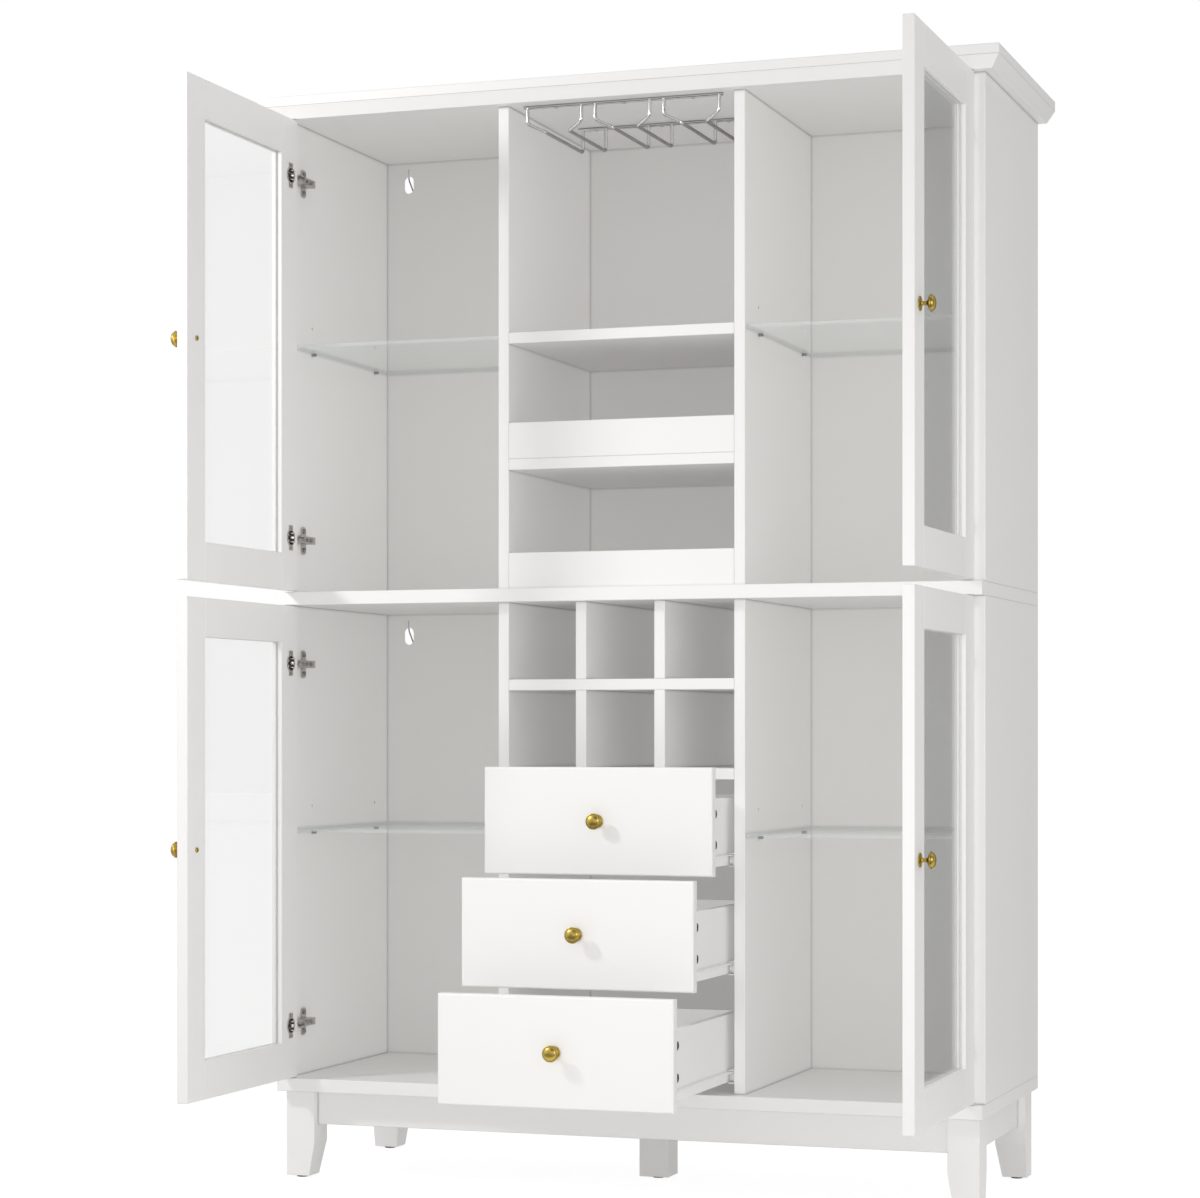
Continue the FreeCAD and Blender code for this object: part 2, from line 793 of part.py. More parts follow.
def hinge_cup(side, z):
    """A drilled-in steel cup with a thin flange on the back of the door."""
    centre = cup_centre(side, z)
    outer = rod(cup_radius, cup_depth, centre, FORWARD)
    rim = rod(cup_radius + cup_rim, flange_thick, centre, BACKWARD)
    wings = slab((centre.x - flange_width / 2, centre.x + flange_width / 2),
                 (door_back_y, door_back_y + flange_thick),
                 (z - flange_height / 2, z + flange_height / 2))
    hollow = rod(cup_radius - cup_wall, cup_depth - cup_wall + flange_thick + cut_over,
                 centre + BACKWARD * (flange_thick + cut_over), FORWARD)
    cup = outer.fuse([rim, wings]).removeSplitter().cut(hollow)
    bores = [screw_bore(seat, BACKWARD, screw_shank_radius, cut_over + flange_thick)
             for seat in flange_screw_seats(side, z)]
    return cup.cut(bores).Solids[0]


def door_hinges(side, storey):
    """Both cups of one door, with the flange screws."""
    pieces = []
    for z in hinge_heights(storey):
        pieces.append(hinge_cup(side, z))
        for seat in flange_screw_seats(side, z):
            pieces.append(screw(seat, BACKWARD, flange_screw_head_radius, screw_shank_radius,
                                cup_depth - cup_wall))
    return [swing_open(piece, side) for piece in pieces]


# Knobs

def knob_outline():
    """Radius and height of the turned knob: flanged base, thin neck and domed cap."""
    cap_low = knob_reach - knob_cap_thick
    parts = ((knob_base_radius, 0, knob_base_thick, knob_base_shares),
             (knob_neck_radius, knob_base_thick, cap_low - knob_base_thick, knob_neck_shares),
             (knob_cap_radius, cap_low, knob_cap_thick, knob_cap_shares))
    outline = [(0, 0)]
    for radius, start, height, shares in parts:
        outline += [(radius * across, start + height * up) for across, up in shares]
    widest = outline[-1][1]
    for step in range(1, knob_dome_steps):
        angle = math.pi / 2 * step / knob_dome_steps
        outline.append((knob_cap_radius * math.cos(angle), widest + (knob_reach - widest) * math.sin(angle)))
    return outline + [(0, knob_reach)]


def knob_set(seat, thickness):
    """A brass knob on a front face that looks forwards, and the screw through the board."""
    knob = lathe(knob_outline(), seat, FORWARD)
    bore = rod(knob_screw_radius + screw_play, knob_screw_bite, seat + BACKWARD * cut_over, FORWARD)
    head_seat = seat + BACKWARD * thickness
    head_end = head_seat + BACKWARD * knob_screw_head_thick
    shank_length = thickness + knob_screw_bite - 2 * cut_over
    fixing = rod(knob_screw_head_radius, knob_screw_head_thick, head_seat, BACKWARD)
    fixing = fixing.fuse(rod(knob_screw_radius, shank_length, head_seat, FORWARD))
    slot = slab((seat.x - recess_length / 2, seat.x + recess_length / 2),
                (head_end.y - recess_depth, head_end.y + cut_over),
                (seat.z - recess_width / 2, seat.z + recess_width / 2))
    return [knob.cut(bore).Solids[0], fixing.cut(slot).Solids[0]]


# Drawers, built closed and then pulled out

def drawer_front_bottom(index):
    """Fronts are counted from the top one."""
    from_base = len(drawer_pulls) - 1 - index
    return base_top + drawer_base_gap + from_base * (drawer_front_height + drawer_gap)


def pulled(shape, index):
    moved = shape.copy()
    moved.translate(FORWARD * drawer_pulls[index])
    return moved


def box_spans(index):
    """Outer half width, front and rear Y, bottom and top Z of one drawer box."""
    z_low = drawer_front_bottom(index)
    half = bay_inner - box_side_gap
    z_pair = (z_low + box_rise, z_low + drawer_front_height - box_drop)
    return half, (door_back_y, door_back_y + box_depth), z_pair


def bottom_slab(index, play):
    """The drawer's bottom sheet, or with play the groove that holds it."""
    half, y_pair, z_pair = box_spans(index)
    reach = half - box_board + box_bottom_bite + play
    z_low = z_pair[0] + box_bottom_rise
    y_span = (y_pair[0] - box_bottom_bite - play, y_pair[1] - box_board + box_bottom_bite + play)
    return slab((-reach, reach), y_span, (z_low - play, z_low + box_bottom_thick + play))


def cam_sites(index):
    """Cam-lock places on the outer faces of the box sides, near the front."""
    half, y_pair, z_pair = box_spans(index)
    height = z_pair[1] - z_pair[0]
    return [(point(side * half, y_pair[0] + cam_setback, z_pair[0] + share * height), RIGHTWARD * side)
            for side in (-1, 1) for share in cam_height_shares]


def cam_lock(seat, outward):
    """A flush disc with a driver slot."""
    disc = rod(cam_radius, cam_depth, seat - outward * cam_depth, outward)
    slot = slab((seat.x - cam_slot_depth, seat.x + cam_slot_depth),
                (seat.y - cam_radius / 2, seat.y + cam_radius / 2),
                (seat.z - cam_slot_width / 2, seat.z + cam_slot_width / 2))
    return disc.cut(slot).Solids[0]


def drawer_front(index):
    z_low = drawer_front_bottom(index)
    half = drawer_front_width / 2
    front = slab((-half, half), (door_front_y, door_back_y), (z_low, z_low + drawer_front_height))
    face_edges = [edge for edge in front.Edges if edge.BoundBox.YMax < door_front_y + edge_soft]
    front = front.makeFillet(drawer_front_round, face_edges)
    bore_start = knob_seat(index) + FORWARD * cut_over
    bore = rod(knob_screw_radius + screw_play, drawer_front_thick + 2 * cut_over, bore_start, BACKWARD)
    return front.cut([bottom_slab(index, box_bottom_play), bore]).Solids[0]


def knob_seat(index):
    return point(0, door_front_y, drawer_front_bottom(index) + drawer_front_height / 2)


def drawer_box(index):
    """Two sides with a rounded front top corner, the back, and the bottom sheet."""
    half, y_pair, z_pair = box_spans(index)
    tools = [bottom_slab(index, box_bottom_play)]
    for seat, outward in cam_sites(index):
        mouth = seat + outward * cut_over
        tools.append(rod(cam_radius + cam_play, cam_depth + cam_play + cut_over, mouth, -outward))
    pieces = []
    for side in (-1, 1):
        wall = slab((side * (half - box_board), side * half), y_pair, z_pair)
        corner = [edge for edge in wall.Edges
                  if edge.BoundBox.YMax < y_pair[0] + edge_soft
                  and edge.BoundBox.ZMin > z_pair[1] - edge_soft]
        pieces.append(cut_all(wall.makeFillet(box_corner_round, corner), tools))
    inner = half - box_board
    pieces.append(cut_all(slab((-inner, inner), (y_pair[1] - box_board, y_pair[1]), z_pair), tools))
    pieces.append(bottom_slab(index, 0))
    return pieces


def channel_floor(index):
    return box_spans(index)[2][0] - runner_channel_drop


def lip_top(index):
    return channel_floor(index) + runner_channel_height - runner_lip_drop


def rear_roller_radius():
    return runner_channel_height / 2 - runner_play


def roller_spans():
    """Distances from the middle: drawer steel face, roller's inner and outer face, channel web."""
    drawer_face = bay_inner - box_side_gap + runner_sheet
    web_face = bay_inner - runner_sheet
    return drawer_face, drawer_face + runner_channel_gap, web_face - runner_play, web_face


def rear_roller_place(index):
    """Y and Z of the roller at the drawer's rear end."""
    rear = box_spans(index)[1][1]
    return rear - roller_setback, channel_floor(index) + runner_channel_height / 2


def front_roller_place(index):
    """Y and Z of the roller at the cabinet channel's front end, just under the drawer's lip."""
    return front_y + roller_setback, lip_top(index) - runner_sheet - runner_play - front_roller_radius


def drawer_runner(side, index):
    """A sheet-steel angle under the box edge with a lip that rides in the cabinet channel."""
    half, y_pair, z_pair = box_spans(index)
    drawer_face, roller_inner, roller_outer, _ = roller_spans()
    roller_y, roller_z = rear_roller_place(index)
    wall = slab((side * half, side * drawer_face), y_pair, (z_pair[0] - runner_sheet, lip_top(index)))
    foot = slab((side * (half - runner_foot_width), side * drawer_face), y_pair,
                (z_pair[0] - runner_sheet, z_pair[0]))
    lip_end = roller_y - rear_roller_radius() - runner_play
    lip = slab((side * half, side * roller_outer), (y_pair[0], lip_end),
               (lip_top(index) - runner_sheet, lip_top(index)))
    root = point(side * half, roller_y, roller_z)
    axle = rod(roller_axle_radius, roller_outer - half, root, RIGHTWARD * side)
    boss = rod(roller_boss_radius, roller_inner - runner_play - half, root, RIGHTWARD * side)
    return wall.fuse([foot, lip, axle, boss]).removeSplitter().Solids[0]


def cabinet_runner(side, index):
    """A C-shaped channel on the partition, with the axle of its front roller."""
    _, roller_inner, roller_outer, web_face = roller_spans()
    floor_z = channel_floor(index)
    ceiling_z = floor_z + runner_channel_height
    y_pair = (front_y + runner_front_setback, door_back_y + box_depth)
    z_pair = (floor_z - runner_sheet, ceiling_z + runner_sheet)
    outer = slab((side * roller_inner, side * bay_inner), y_pair, z_pair)
    inside = slab((0, side * web_face), (y_pair[0] - cut_over, y_pair[1] + cut_over), (floor_z, ceiling_z))
    roller_y, roller_z = front_roller_place(index)
    root = point(side * bay_inner, roller_y, roller_z)
    axle = rod(roller_axle_radius, bay_inner - roller_inner, root, RIGHTWARD * -side)
    return outer.cut(inside).fuse(axle).removeSplitter().Solids[0]


def roller_pair(radius, place):
    """Two nylon rollers on one line across the cabinet, bored for their axles."""
    _, roller_inner, roller_outer, _ = roller_spans()
    y, z = place
    rollers = []
    for side in (-1, 1):
        start = point(side * roller_inner, y, z)
        wheel = rod(radius, roller_outer - roller_inner, start, RIGHTWARD * side)
        bore = rod(roller_axle_radius + roller_bore_play, bay_inner, point(0, y, z), RIGHTWARD * side)
        rollers.append(wheel.cut(bore).Solids[0])
    return rollers


# Everything on the cabinet itself

def carcass_screws():
    board_seats = [(seat, DOWN) for seat in tab_seats()]
    arm_seats = []
    for storey in storeys:
        for z in hinge_heights(storey):
            for side in (-1, 1):
                board_seats += mount_screw_seats(side, z)
                arm_seats += adjuster_seats(side, z)
    screws = [screw(seat, outward, screw_head_radius, screw_shank_radius, screw_shank_length)
              for seat, outward in board_seats]
    screws += [screw(seat, outward, adjuster_head_radius, screw_shank_radius, arm_wall)
               for seat, outward in arm_seats]
    return screws


def board_bores():
    """Every bore in the boards: dowels, shelf pins and screws."""
    bores = dowel_bores()
    for storey in storeys:
        bores += pin_bores(storey)
        for z in hinge_heights(storey):
            for side in (-1, 1):
                bores += [screw_bore(seat, outward, screw_shank_radius, screw_shank_length)
                          for seat, outward in mount_screw_seats(side, z)]
    bores += [screw_bore(seat, DOWN, screw_shank_radius, screw_shank_length) for seat in tab_seats()]
    return bores


def build_carcass():
    bores = board_bores()
    save("crown_board", [crown_board()])
    save("cornice_moulding", cornice_moulding())
    save("top_panel", [top_panel(bores)])
    save("mid_panel", [flat_panel(mid_bottom, panel_thick, bores)])
    save("base_panel", [flat_panel(base_underside, panel_thick, bores)])
    for storey in storeys:
        save(storey + "_sides", [side_panel(side, storey, bores) for side in (-1, 1)])
    save("partitions", [partition(side, storey, bores) for storey in storeys for side in (-1, 1)])
    save("back_boards", [back_board(storey) for storey in storeys])
    save("bay_shelves", [bay_board(z) for z in [lower_cubby_shelf, upper_cubby_shelf] + wine_shelf_heights()])
    save("cubby_rails", [cubby_rail(z) for z in (mid_top, lower_cubby_shelf + board)])
    save("wine_dividers", wine_dividers())
    save("panel_dowels", [rod(dowel_radius, dowel_length, start, direction)
                          for start, direction in dowel_sites()])
    save("carcass_screws", carcass_screws())


def build_stand():
    save("legs", [tapered_leg(*place) for place in corner_leg_places()] + [centre_leg()])
    save("aprons", aprons())
    save("glides", [glide(x, y) for x, y in glide_places()])


def build_fittings():
    sides = (-1, 1)
    save("glass_shelves", [glass_shelf(side, storey) for storey in storeys for side in sides])
    save("shelf_pins", [shelf_pin(*site) for storey in storeys for site in pin_sites(storey)])
    save("stemware_rack", stemware_rack())
    heights = [z for storey in storeys for z in hinge_heights(storey)]
    save("hinge_plates", [mount_plate(side, z) for z in heights for side in sides])
    save("hinge_arms", [hinge_arm(side, z) for z in heights for side in sides])
    save("cabinet_runners", [cabinet_runner(side, index)
                             for index in range(len(drawer_pulls)) for side in sides])


def build_door(side, storey, name):
    save(name + "_frame", door_frame(side, storey))
    save(name + "_glass", [swing_open(door_glass_slab(side, storey, 0), side)])
    save(name + "_hinges", door_hinges(side, storey))
    knob = knob_set(knob_centre(side, storey), door_thick)
    save(name + "_knob", [swing_open(piece, side) for piece in knob])


def build_drawer(index, name):
    save(name + "_front", [pulled(drawer_front(index), index)])
    save(name + "_box", [pulled(piece, index) for piece in drawer_box(index)])
    save(name + "_cams", [pulled(cam_lock(*site), index) for site in cam_sites(index)])
    save(name + "_runners", [pulled(drawer_runner(side, index), index) for side in (-1, 1)])
    rear_rollers = roller_pair(rear_roller_radius(), rear_roller_place(index))
    save(name + "_rear_rollers", [pulled(roller, index) for roller in rear_rollers])
    save(name + "_front_rollers", roller_pair(front_roller_radius, front_roller_place(index)))
    save(name + "_knob", [pulled(piece, index) for piece in knob_set(knob_seat(index), drawer_front_thick)])


build_carcass()
build_stand()
build_fittings()
for storey_name in storeys:
    for door_side, hand_name in ((-1, "left"), (1, "right")):
        build_door(door_side, storey_name, storey_name + "_" + hand_name + "_door")
for drawer_index, drawer_name in enumerate(("top_drawer", "middle_drawer", "bottom_drawer")):
    build_drawer(drawer_index, drawer_name)
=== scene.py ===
import json
import math

import bmesh
import bpy
from bpy.props import FloatProperty, FloatVectorProperty, PointerProperty
from mathutils import Matrix, Vector


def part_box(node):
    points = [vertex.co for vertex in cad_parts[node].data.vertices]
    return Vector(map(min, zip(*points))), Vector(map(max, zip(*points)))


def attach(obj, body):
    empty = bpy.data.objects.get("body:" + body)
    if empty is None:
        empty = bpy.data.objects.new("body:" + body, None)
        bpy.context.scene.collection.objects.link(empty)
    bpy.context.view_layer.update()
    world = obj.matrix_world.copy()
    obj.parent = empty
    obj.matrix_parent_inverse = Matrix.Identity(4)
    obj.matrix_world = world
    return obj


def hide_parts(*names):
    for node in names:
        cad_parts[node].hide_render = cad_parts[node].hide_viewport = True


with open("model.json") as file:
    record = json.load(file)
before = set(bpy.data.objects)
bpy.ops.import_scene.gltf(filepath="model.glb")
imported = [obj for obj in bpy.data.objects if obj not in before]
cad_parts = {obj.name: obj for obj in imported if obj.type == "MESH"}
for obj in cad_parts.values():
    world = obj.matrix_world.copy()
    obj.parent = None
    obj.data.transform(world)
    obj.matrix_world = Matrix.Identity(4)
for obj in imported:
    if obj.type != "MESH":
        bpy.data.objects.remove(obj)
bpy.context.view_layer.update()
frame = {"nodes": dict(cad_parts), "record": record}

bl_info = {
    "name": "Wine cabinet dresser",
    "version": (1, 0, 0),
    "blender": (4, 5, 0),
    "location": "3D View > Sidebar > Cabinet",
    "description": "Gives a white wine cabinet its paint, glass, brass and small fittings",
    "category": "Object",
}

# Metres and radians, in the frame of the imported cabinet: +Z up, doors facing -Y

MM = 0.001
DOORS = ("upper_left_door", "upper_right_door", "lower_left_door", "lower_right_door")
DRAWERS = ("top_drawer", "middle_drawer", "bottom_drawer")
PAINTED_NODES = (
    "crown_board", "cornice_moulding", "top_panel", "mid_panel", "base_panel",
    "lower_sides", "upper_sides", "partitions", "bay_shelves", "cubby_rails",
    "wine_dividers", "legs", "aprons",
)
UP = (0, 0, 1)
WHITE = (1.0, 1.0, 1.0, 1.0)

# Sockets of a Mix node of colours, which share their names with its other kinds
FIRST_COLOUR = 6
SECOND_COLOUR = 7
MIXED_COLOUR = 2

# Meshes: points closer than this are one, and edges sharper than this angle stay creased
WELD_GAP = 1e-6
CREASE = 40

# Screws, seated so deep below the outer end of their CAD solids
SCREW_HEAD_RADIUS = 4.0 * MM
SCREW_HEAD_RISE = 2.2 * MM
SCREW_SHANK_RADIUS = 1.7 * MM
SCREW_SHANK_LENGTH = 2.0 * MM
SCREW_RECESS_REACH = 2.2 * MM
SCREW_RECESS_HALF_WIDTH = 0.55 * MM
SCREW_RECESS_DEPTH = 0.78 * MM
SCREW_SEAT_DEPTH = 2.0 * MM
KNOB_SCREW_SEAT_DEPTH = 2.2 * MM
CUP_SCREW_SCALE = 0.7

# Shelf pins, cam locks, glides and rollers
PIN_RADIUS = 2.5 * MM
PIN_LENGTH = 16.0 * MM
PIN_END_ROUND = 0.9 * MM
CAM_RADIUS = 7.0 * MM
CAM_DEPTH = 9.0 * MM
GLIDE_HEIGHT = 4.0 * MM
GLIDE_STEM_RADIUS = 3.0 * MM
ROLLER_BORE_RADIUS = 2.8 * MM
OUTER_BAY_MIDDLE = 0.4

# Knobs: the cove's points are (share of the base's radius, height), the neck's and the cap's are shares
KNOB_BASE_ROUND = 0.9 * MM
KNOB_BAND = 0.55 * MM
KNOB_COVE = ((0.84, 2.0 * MM), (0.60, 2.6 * MM), (0.44, 3.5 * MM))
KNOB_NECK_SHARES = ((1.2, 0.40), (1.0, 0.55), (1.05, 0.72), (1.35, 0.87))
KNOB_CAP_SHARES = ((0.44, 0.01), (0.68, 0.07), (0.88, 0.20))
KNOB_SHOULDER_SHARE = 0.36
KNOB_CREASE = 35

# Hinge cups, with z 0 at the door's inner face
CUP_RADIUS = 13.0 * MM
CUP_DEPTH = 11.5 * MM
CUP_WALL = 1.0 * MM
CUP_LIP = 0.6 * MM
CUP_RIM = 1.5 * MM
CUP_OUTER_ROUND = 1.5 * MM
CUP_INNER_ROUND = 1.2 * MM
CUP_LEAST_HEIGHT = 20.0 * MM
WING_SPAN = 41.5 * MM
WING_GAP = 0.2 * MM
WING_HALF_WIDTH = 7.2 * MM
WING_BOTTOM = 0.05 * MM
WING_TOP = 1.15 * MM
WING_ROUND = 0.45 * MM
LINK_ROUND = 0.3 * MM
LINK_PIN_RADIUS = 1.3 * MM
LINK_PIN_LENGTH = 16.6 * MM
ARM_ROUND = 0.35 * MM

# The link plates' outline and pins as (across, height), and the plates' levels, all in millimetres
LINK_OUTLINE = ((-5.5, -8.5), (4.5, -8.5), (4.5, 3.5), (2.0, 7.0), (-3.0, 7.0), (-5.5, 4.5))
LINK_LEVELS = ((-8.0, -6.4), (-2.6, 2.6), (6.4, 8.0))
LINK_PINS = ((3.0, -5.0), (6.5, -7.5))

# Screw tabs and weld beads of the rack
TAB_THICKNESS = 1.6 * MM
TAB_CEILING_GAP = 0.02 * MM
TAB_ROUND = 0.5 * MM
TAB_OVERLAP_SHARE = 0.6
BEAD_RADIUS_SHARE = 1.12
BEAD_DROP_SHARE = 0.35

# Wall ties: sideways and upward steps from the hole's middle, in millimetres
TIE_ROUTE = ((-2.5, 22.0), (-2.0, 9.5), (1.5, 1.0), (6.0, -11.0), (8.0, -20.0))

# Corners of the studio's grey cards: behind the right end, right, floor, overhead, and far front left
GREY_CARDS = (
    ((0.78, 1.0, -0.2), (1.30, 1.0, -0.2), (1.30, 1.0, 2.8), (0.78, 1.0, 2.8)),
    ((3.2, -3.2, 0.0), (3.2, 0.6, 0.0), (3.2, 0.6, 3.0), (3.2, -3.2, 3.0)),
    ((-2.6, -5.5, 0.02), (3.2, -5.5, 0.02), (3.2, -0.9, 0.02), (-2.6, -0.9, 0.02)),
    ((-0.4, -6.0, 2.6), (3.2, -6.0, 2.6), (3.2, -1.0, 3.2), (-0.4, -1.0, 3.2)),
    ((-2.6, -6.0, 0.0), (-0.9, -6.0, 0.0), (-0.9, -6.0, 2.2), (-2.6, -6.0, 2.2)),
)

# Camera: the sensor in millimetres, and how far the lens sees
SENSOR_WIDTH = 36.0
VIEW_END = 100.0


# Settings that a user would change


def length(name, description, default):
    return FloatProperty(name=name, description=description, default=default, unit="LENGTH", precision=5)


def share(name, description, default):
    return FloatProperty(name=name, description=description, default=default, min=0.0, soft_max=2.0)


def power(name, description, default):
    return FloatProperty(name=name, description=description, default=default, unit="POWER")


def place(name, description, default):
    return FloatVectorProperty(name=name, description=description, default=default, subtype="TRANSLATION")


def colour(name, description, default):
    return FloatVectorProperty(name=name, description=description, default=default, subtype="COLOR",
                               size=3, min=0.0, max=1.0)


class StageSettings(bpy.types.PropertyGroup):
    """Camera, lamps and floor."""

    camera_place: place("Camera place", "Where the lens stands", (1.5619, -4.7943, 0.7399))
    camera_turn: FloatProperty(
        name="Camera turn", description="Turn to the left, seen from above", subtype="ANGLE",
        default=math.radians(19.16))
    focal_length: FloatProperty(
        name="Focal length", description="On a sensor 36 mm wide, in millimetres", default=90.43)
    lens_rise: FloatProperty(
        name="Lens rise", description="Upward shift as a share of the picture's width", default=0.1131)
    key_power: power("Key light", "Power of the lamp at the upper left front", 18.0)
    key_width: length("Key width", "Across the round key lamp", 0.26)
    key_place: place("Key place", "Where the key lamp hangs", (-1.65, -1.50, 1.95))
    front_power: power("Front light", "Power of the shadowless lamp in front", 6.0)
    front_width: length("Front width", "Across the round front lamp", 0.5)
    front_place: place("Front place", "Where the front lamp stands", (0.22, -1.9, 0.66))
    side_power: power("Side light", "Power of the shadowless lamp on the right", 23.0)
    side_width: length("Side width", "Across the round side lamp", 0.9)
    side_place: place("Side place", "Where the side lamp stands", (3.0, -2.0, 1.2))
    lamp_aim: place("Lamp aim", "The point that the lamps look at", (0.0, -0.3, 0.9))
    lamp_colour: colour("Lamp colour", "A hair warmer than white", (1.0, 0.996, 0.985))
    fill_strength: share("Fill light", "Strength of the even light all round", 0.56)
    flag_tone: share("Flag tone", "Brightness of the grey cards that metal and glass mirror", 0.16)
    floor_size: length("Floor size", "Side of the floor", 60.0)
    floor_colour: colour("Floor colour", "Floor as it lights the cabinet", (0.78, 0.78, 0.775))
    floor_shade: share("Floor shade", "Part of the floor's look that takes shadow", 0.22)
    floor_glow: share("Floor glow", "Even whiteness of the floor in the picture", 0.90)


class FinishSettings(bpy.types.PropertyGroup):
    """Colours of the cabinet's finishes."""

    paint: colour("Paint", "White satin paint on the boards", (0.900, 0.891, 0.883))
    back: colour("Back board", "White face of the thin back boards", (0.795, 0.786, 0.776))
    drawer: colour("Drawer board", "White foil on the drawers", (0.920, 0.912, 0.905))
    brass: colour("Brass", "Satin brass of the knobs", (0.66, 0.48, 0.12))
    chrome: colour("Chrome", "Bright wire of the stemware rack", (0.86, 0.87, 0.88))
    nickel: colour("Nickel", "Plated hinges", (0.55, 0.53, 0.50))
    zinc: colour("Zinc", "Screws and shelf pins", (0.36, 0.36, 0.37))
    dark_fitting: colour("Dark fitting", "Cam locks and wall ties", (0.055, 0.053, 0.05))
    powder: colour("Powder coat", "White coat of the drawer runners", (0.95, 0.95, 0.945))
    nylon: colour("Nylon", "Runner rollers", (0.70, 0.70, 0.68))
    black_plastic: colour("Black plastic", "Glides under the legs", (0.010, 0.010, 0.011))
    beech: colour("Beech", "Dowels", (0.58, 0.38, 0.20))
    pane_tint: colour("Pane tint", "What the door panes let through", (0.982, 0.986, 0.983))
    shelf_tint: colour("Shelf tint", "What the shelf glass lets through", (0.775, 0.775, 0.770))
    shelf_edge: colour("Shelf edge", "What the cut edges of the shelf glass let through", (0.93, 0.935, 0.93))


class FittingSettings(bpy.types.PropertyGroup):
    """Sizes of the fittings that are dressed here."""

    knob_base_radius: length("Knob base radius", "Flange against the board", 0.0106)
    knob_neck_radius: length("Knob neck radius", "Thinnest part", 0.0027)
    knob_cap_radius: length("Knob cap radius", "Widest part", 0.0127)
    knob_reach: length("Knob reach", "Height of the knob over the board", 0.0240)
    knob_cap_thickness: length("Knob cap thickness", "From the cap's back to its crown", 0.0110)
    rack_wire_radius: length("Rack wire radius", "Half the wire's thickness", 0.00275)
    rack_bend_radius: length("Rack bend radius", "Inside the wire's bends", 0.007)
    rack_slot_pitch: length("Rack slot pitch", "From one slot's middle to the next", 0.1167)
    rack_mouth_width: length("Rack mouth width", "Between the front drops of a slot", 0.093)
    rack_slot_width: length("Rack slot width", "Between the rails of a slot", 0.041)
    rack_drop: length("Rack drop", "From the ceiling to the rail's middle", 0.041)
    rack_shoulder_drop: length("Rack shoulder drop", "From the ceiling to the front bend", 0.029)
    rack_flare: length("Rack flare", "How far back the flare runs", 0.014)
    rack_front_overrun: length("Rack front overrun", "Front cross wire beyond the last drop", 0.006)
    rack_rear_overrun: length("Rack rear overrun", "Rear cross wire beyond the last rail", 0.008)
    tab_length: length("Tab length", "Screw tab, along the bar", 0.020)
    tab_width: length("Tab width", "Screw tab, across the bar", 0.012)
    tie_wire_radius: length("Tie wire radius", "Half the thickness of the wall tie", 0.00105)
    tie_bend_radius: length("Tie bend radius", "How gently the wall tie curves", 0.012)
    edge_round: length("Edge round", "Softening of painted edges", 0.0009)
    # Reach of the painted shade at seams and inner corners
    seam_shade_reach: length("Seam reach", "How far paint darkens from a seam or inner corner", 0.005)


# Node helpers


def feed(tree, target, links):
    """Fill or link the inputs of a node."""
    for socket, value in links.items():
        if isinstance(value, bpy.types.NodeSocket):
            tree.links.new(value, target.inputs[socket])
        else:
            target.inputs[socket].default_value = value


def node(tree, kind, links=None, **values):
    """Add a node, set its properties, and fill or link its inputs."""
    made = tree.nodes.new(kind)
    for key, value in values.items():
        setattr(made, key, value)
    feed(tree, made, links or {})
    return made


def begin_material(name):
    """A new material with its tree and its main shader."""
    material = bpy.data.materials.new(name)
    material.use_nodes = True
    return material, material.node_tree, material.node_tree.nodes["Principled BSDF"]


def bare_material(name):
    """A new material with an empty tree."""
    material, tree, _ = begin_material(name)
    tree.nodes.clear()
    return material, tree


def object_point(tree):
    return node(tree, "ShaderNodeTexCoord").outputs["Object"]


def noise(tree, point, scale, detail=3.0, roughness=0.5):
    return node(tree, "ShaderNodeTexNoise",
                {"Vector": point, "Scale": scale, "Detail": detail, "Roughness": roughness}).outputs["Fac"]


def stretched(tree, point, scale):
    return node(tree, "ShaderNodeMapping", {"Vector": point, "Scale": scale}).outputs["Vector"]


def between(tree, factor, low, high, start=0.0):
    """Map a pattern that runs from start to 1 onto low to high."""
    ends = {"Value": factor, "From Min": start, "To Min": low, "To Max": high}
    return node(tree, "ShaderNodeMapRange", ends).outputs["Result"]


def larger(tree, first, second):
    return node(tree, "ShaderNodeMath", {0: first, 1: second}, operation="MAXIMUM").outputs[0]


def opaque(tone):
    """A plain colour with its alpha, or a colour socket as it is."""
    return tone if isinstance(tone, bpy.types.NodeSocket) else (*tone, 1.0)


def blended(tree, factor, first, second, mode="MIX"):
    """Mix two colours or colour sockets."""
    links = {"Factor": factor, FIRST_COLOUR: opaque(first), SECOND_COLOUR: opaque(second)}
    return node(tree, "ShaderNodeMix", links, data_type="RGBA", blend_type=mode).outputs[MIXED_COLOUR]


def dimmed(base, factor):
    """A colour times a factor, kept within white."""
    return tuple(min(1.0, channel * factor) for channel in base)


def bump(tree, height, strength, distance, normal=None):
    links = {"Height": height, "Strength": strength, "Distance": distance}
    if normal is not None:
        links["Normal"] = normal
    return node(tree, "ShaderNodeBump", links).outputs["Normal"]


def soft_normal(tree, radius):
    """A normal that rounds edges within the radius."""
    return node(tree, "ShaderNodeBevel", {"Radius": radius}, samples=4).outputs["Normal"]


def painted_seam_shade(tree, tone, reach, depth):
    """Painted shade: darken a tone by up to a depth close to seams and inner corners, where ambient occlusion
    finds them.
    """
    near = node(tree, "ShaderNodeAmbientOcclusion", {"Distance": reach}, samples=4)
    kept = between(tree, near.outputs["AO"], 1.0 - depth, 1.0, start=0.35)
    grey = node(tree, "ShaderNodeCombineColor", {"Red": kept, "Green": kept, "Blue": kept}).outputs["Color"]
    return blended(tree, 1.0, tone, grey, mode="MULTIPLY")


def seen_itself(tree):
    """One where a surface is seen, also in a mirror or through glass, and nought where it only lights."""
    path = node(tree, "ShaderNodeLightPath").outputs
    straight = larger(tree, path["Is Camera Ray"], path["Is Glossy Ray"])
    return larger(tree, straight, path["Is Transmission Ray"])


# Finishes


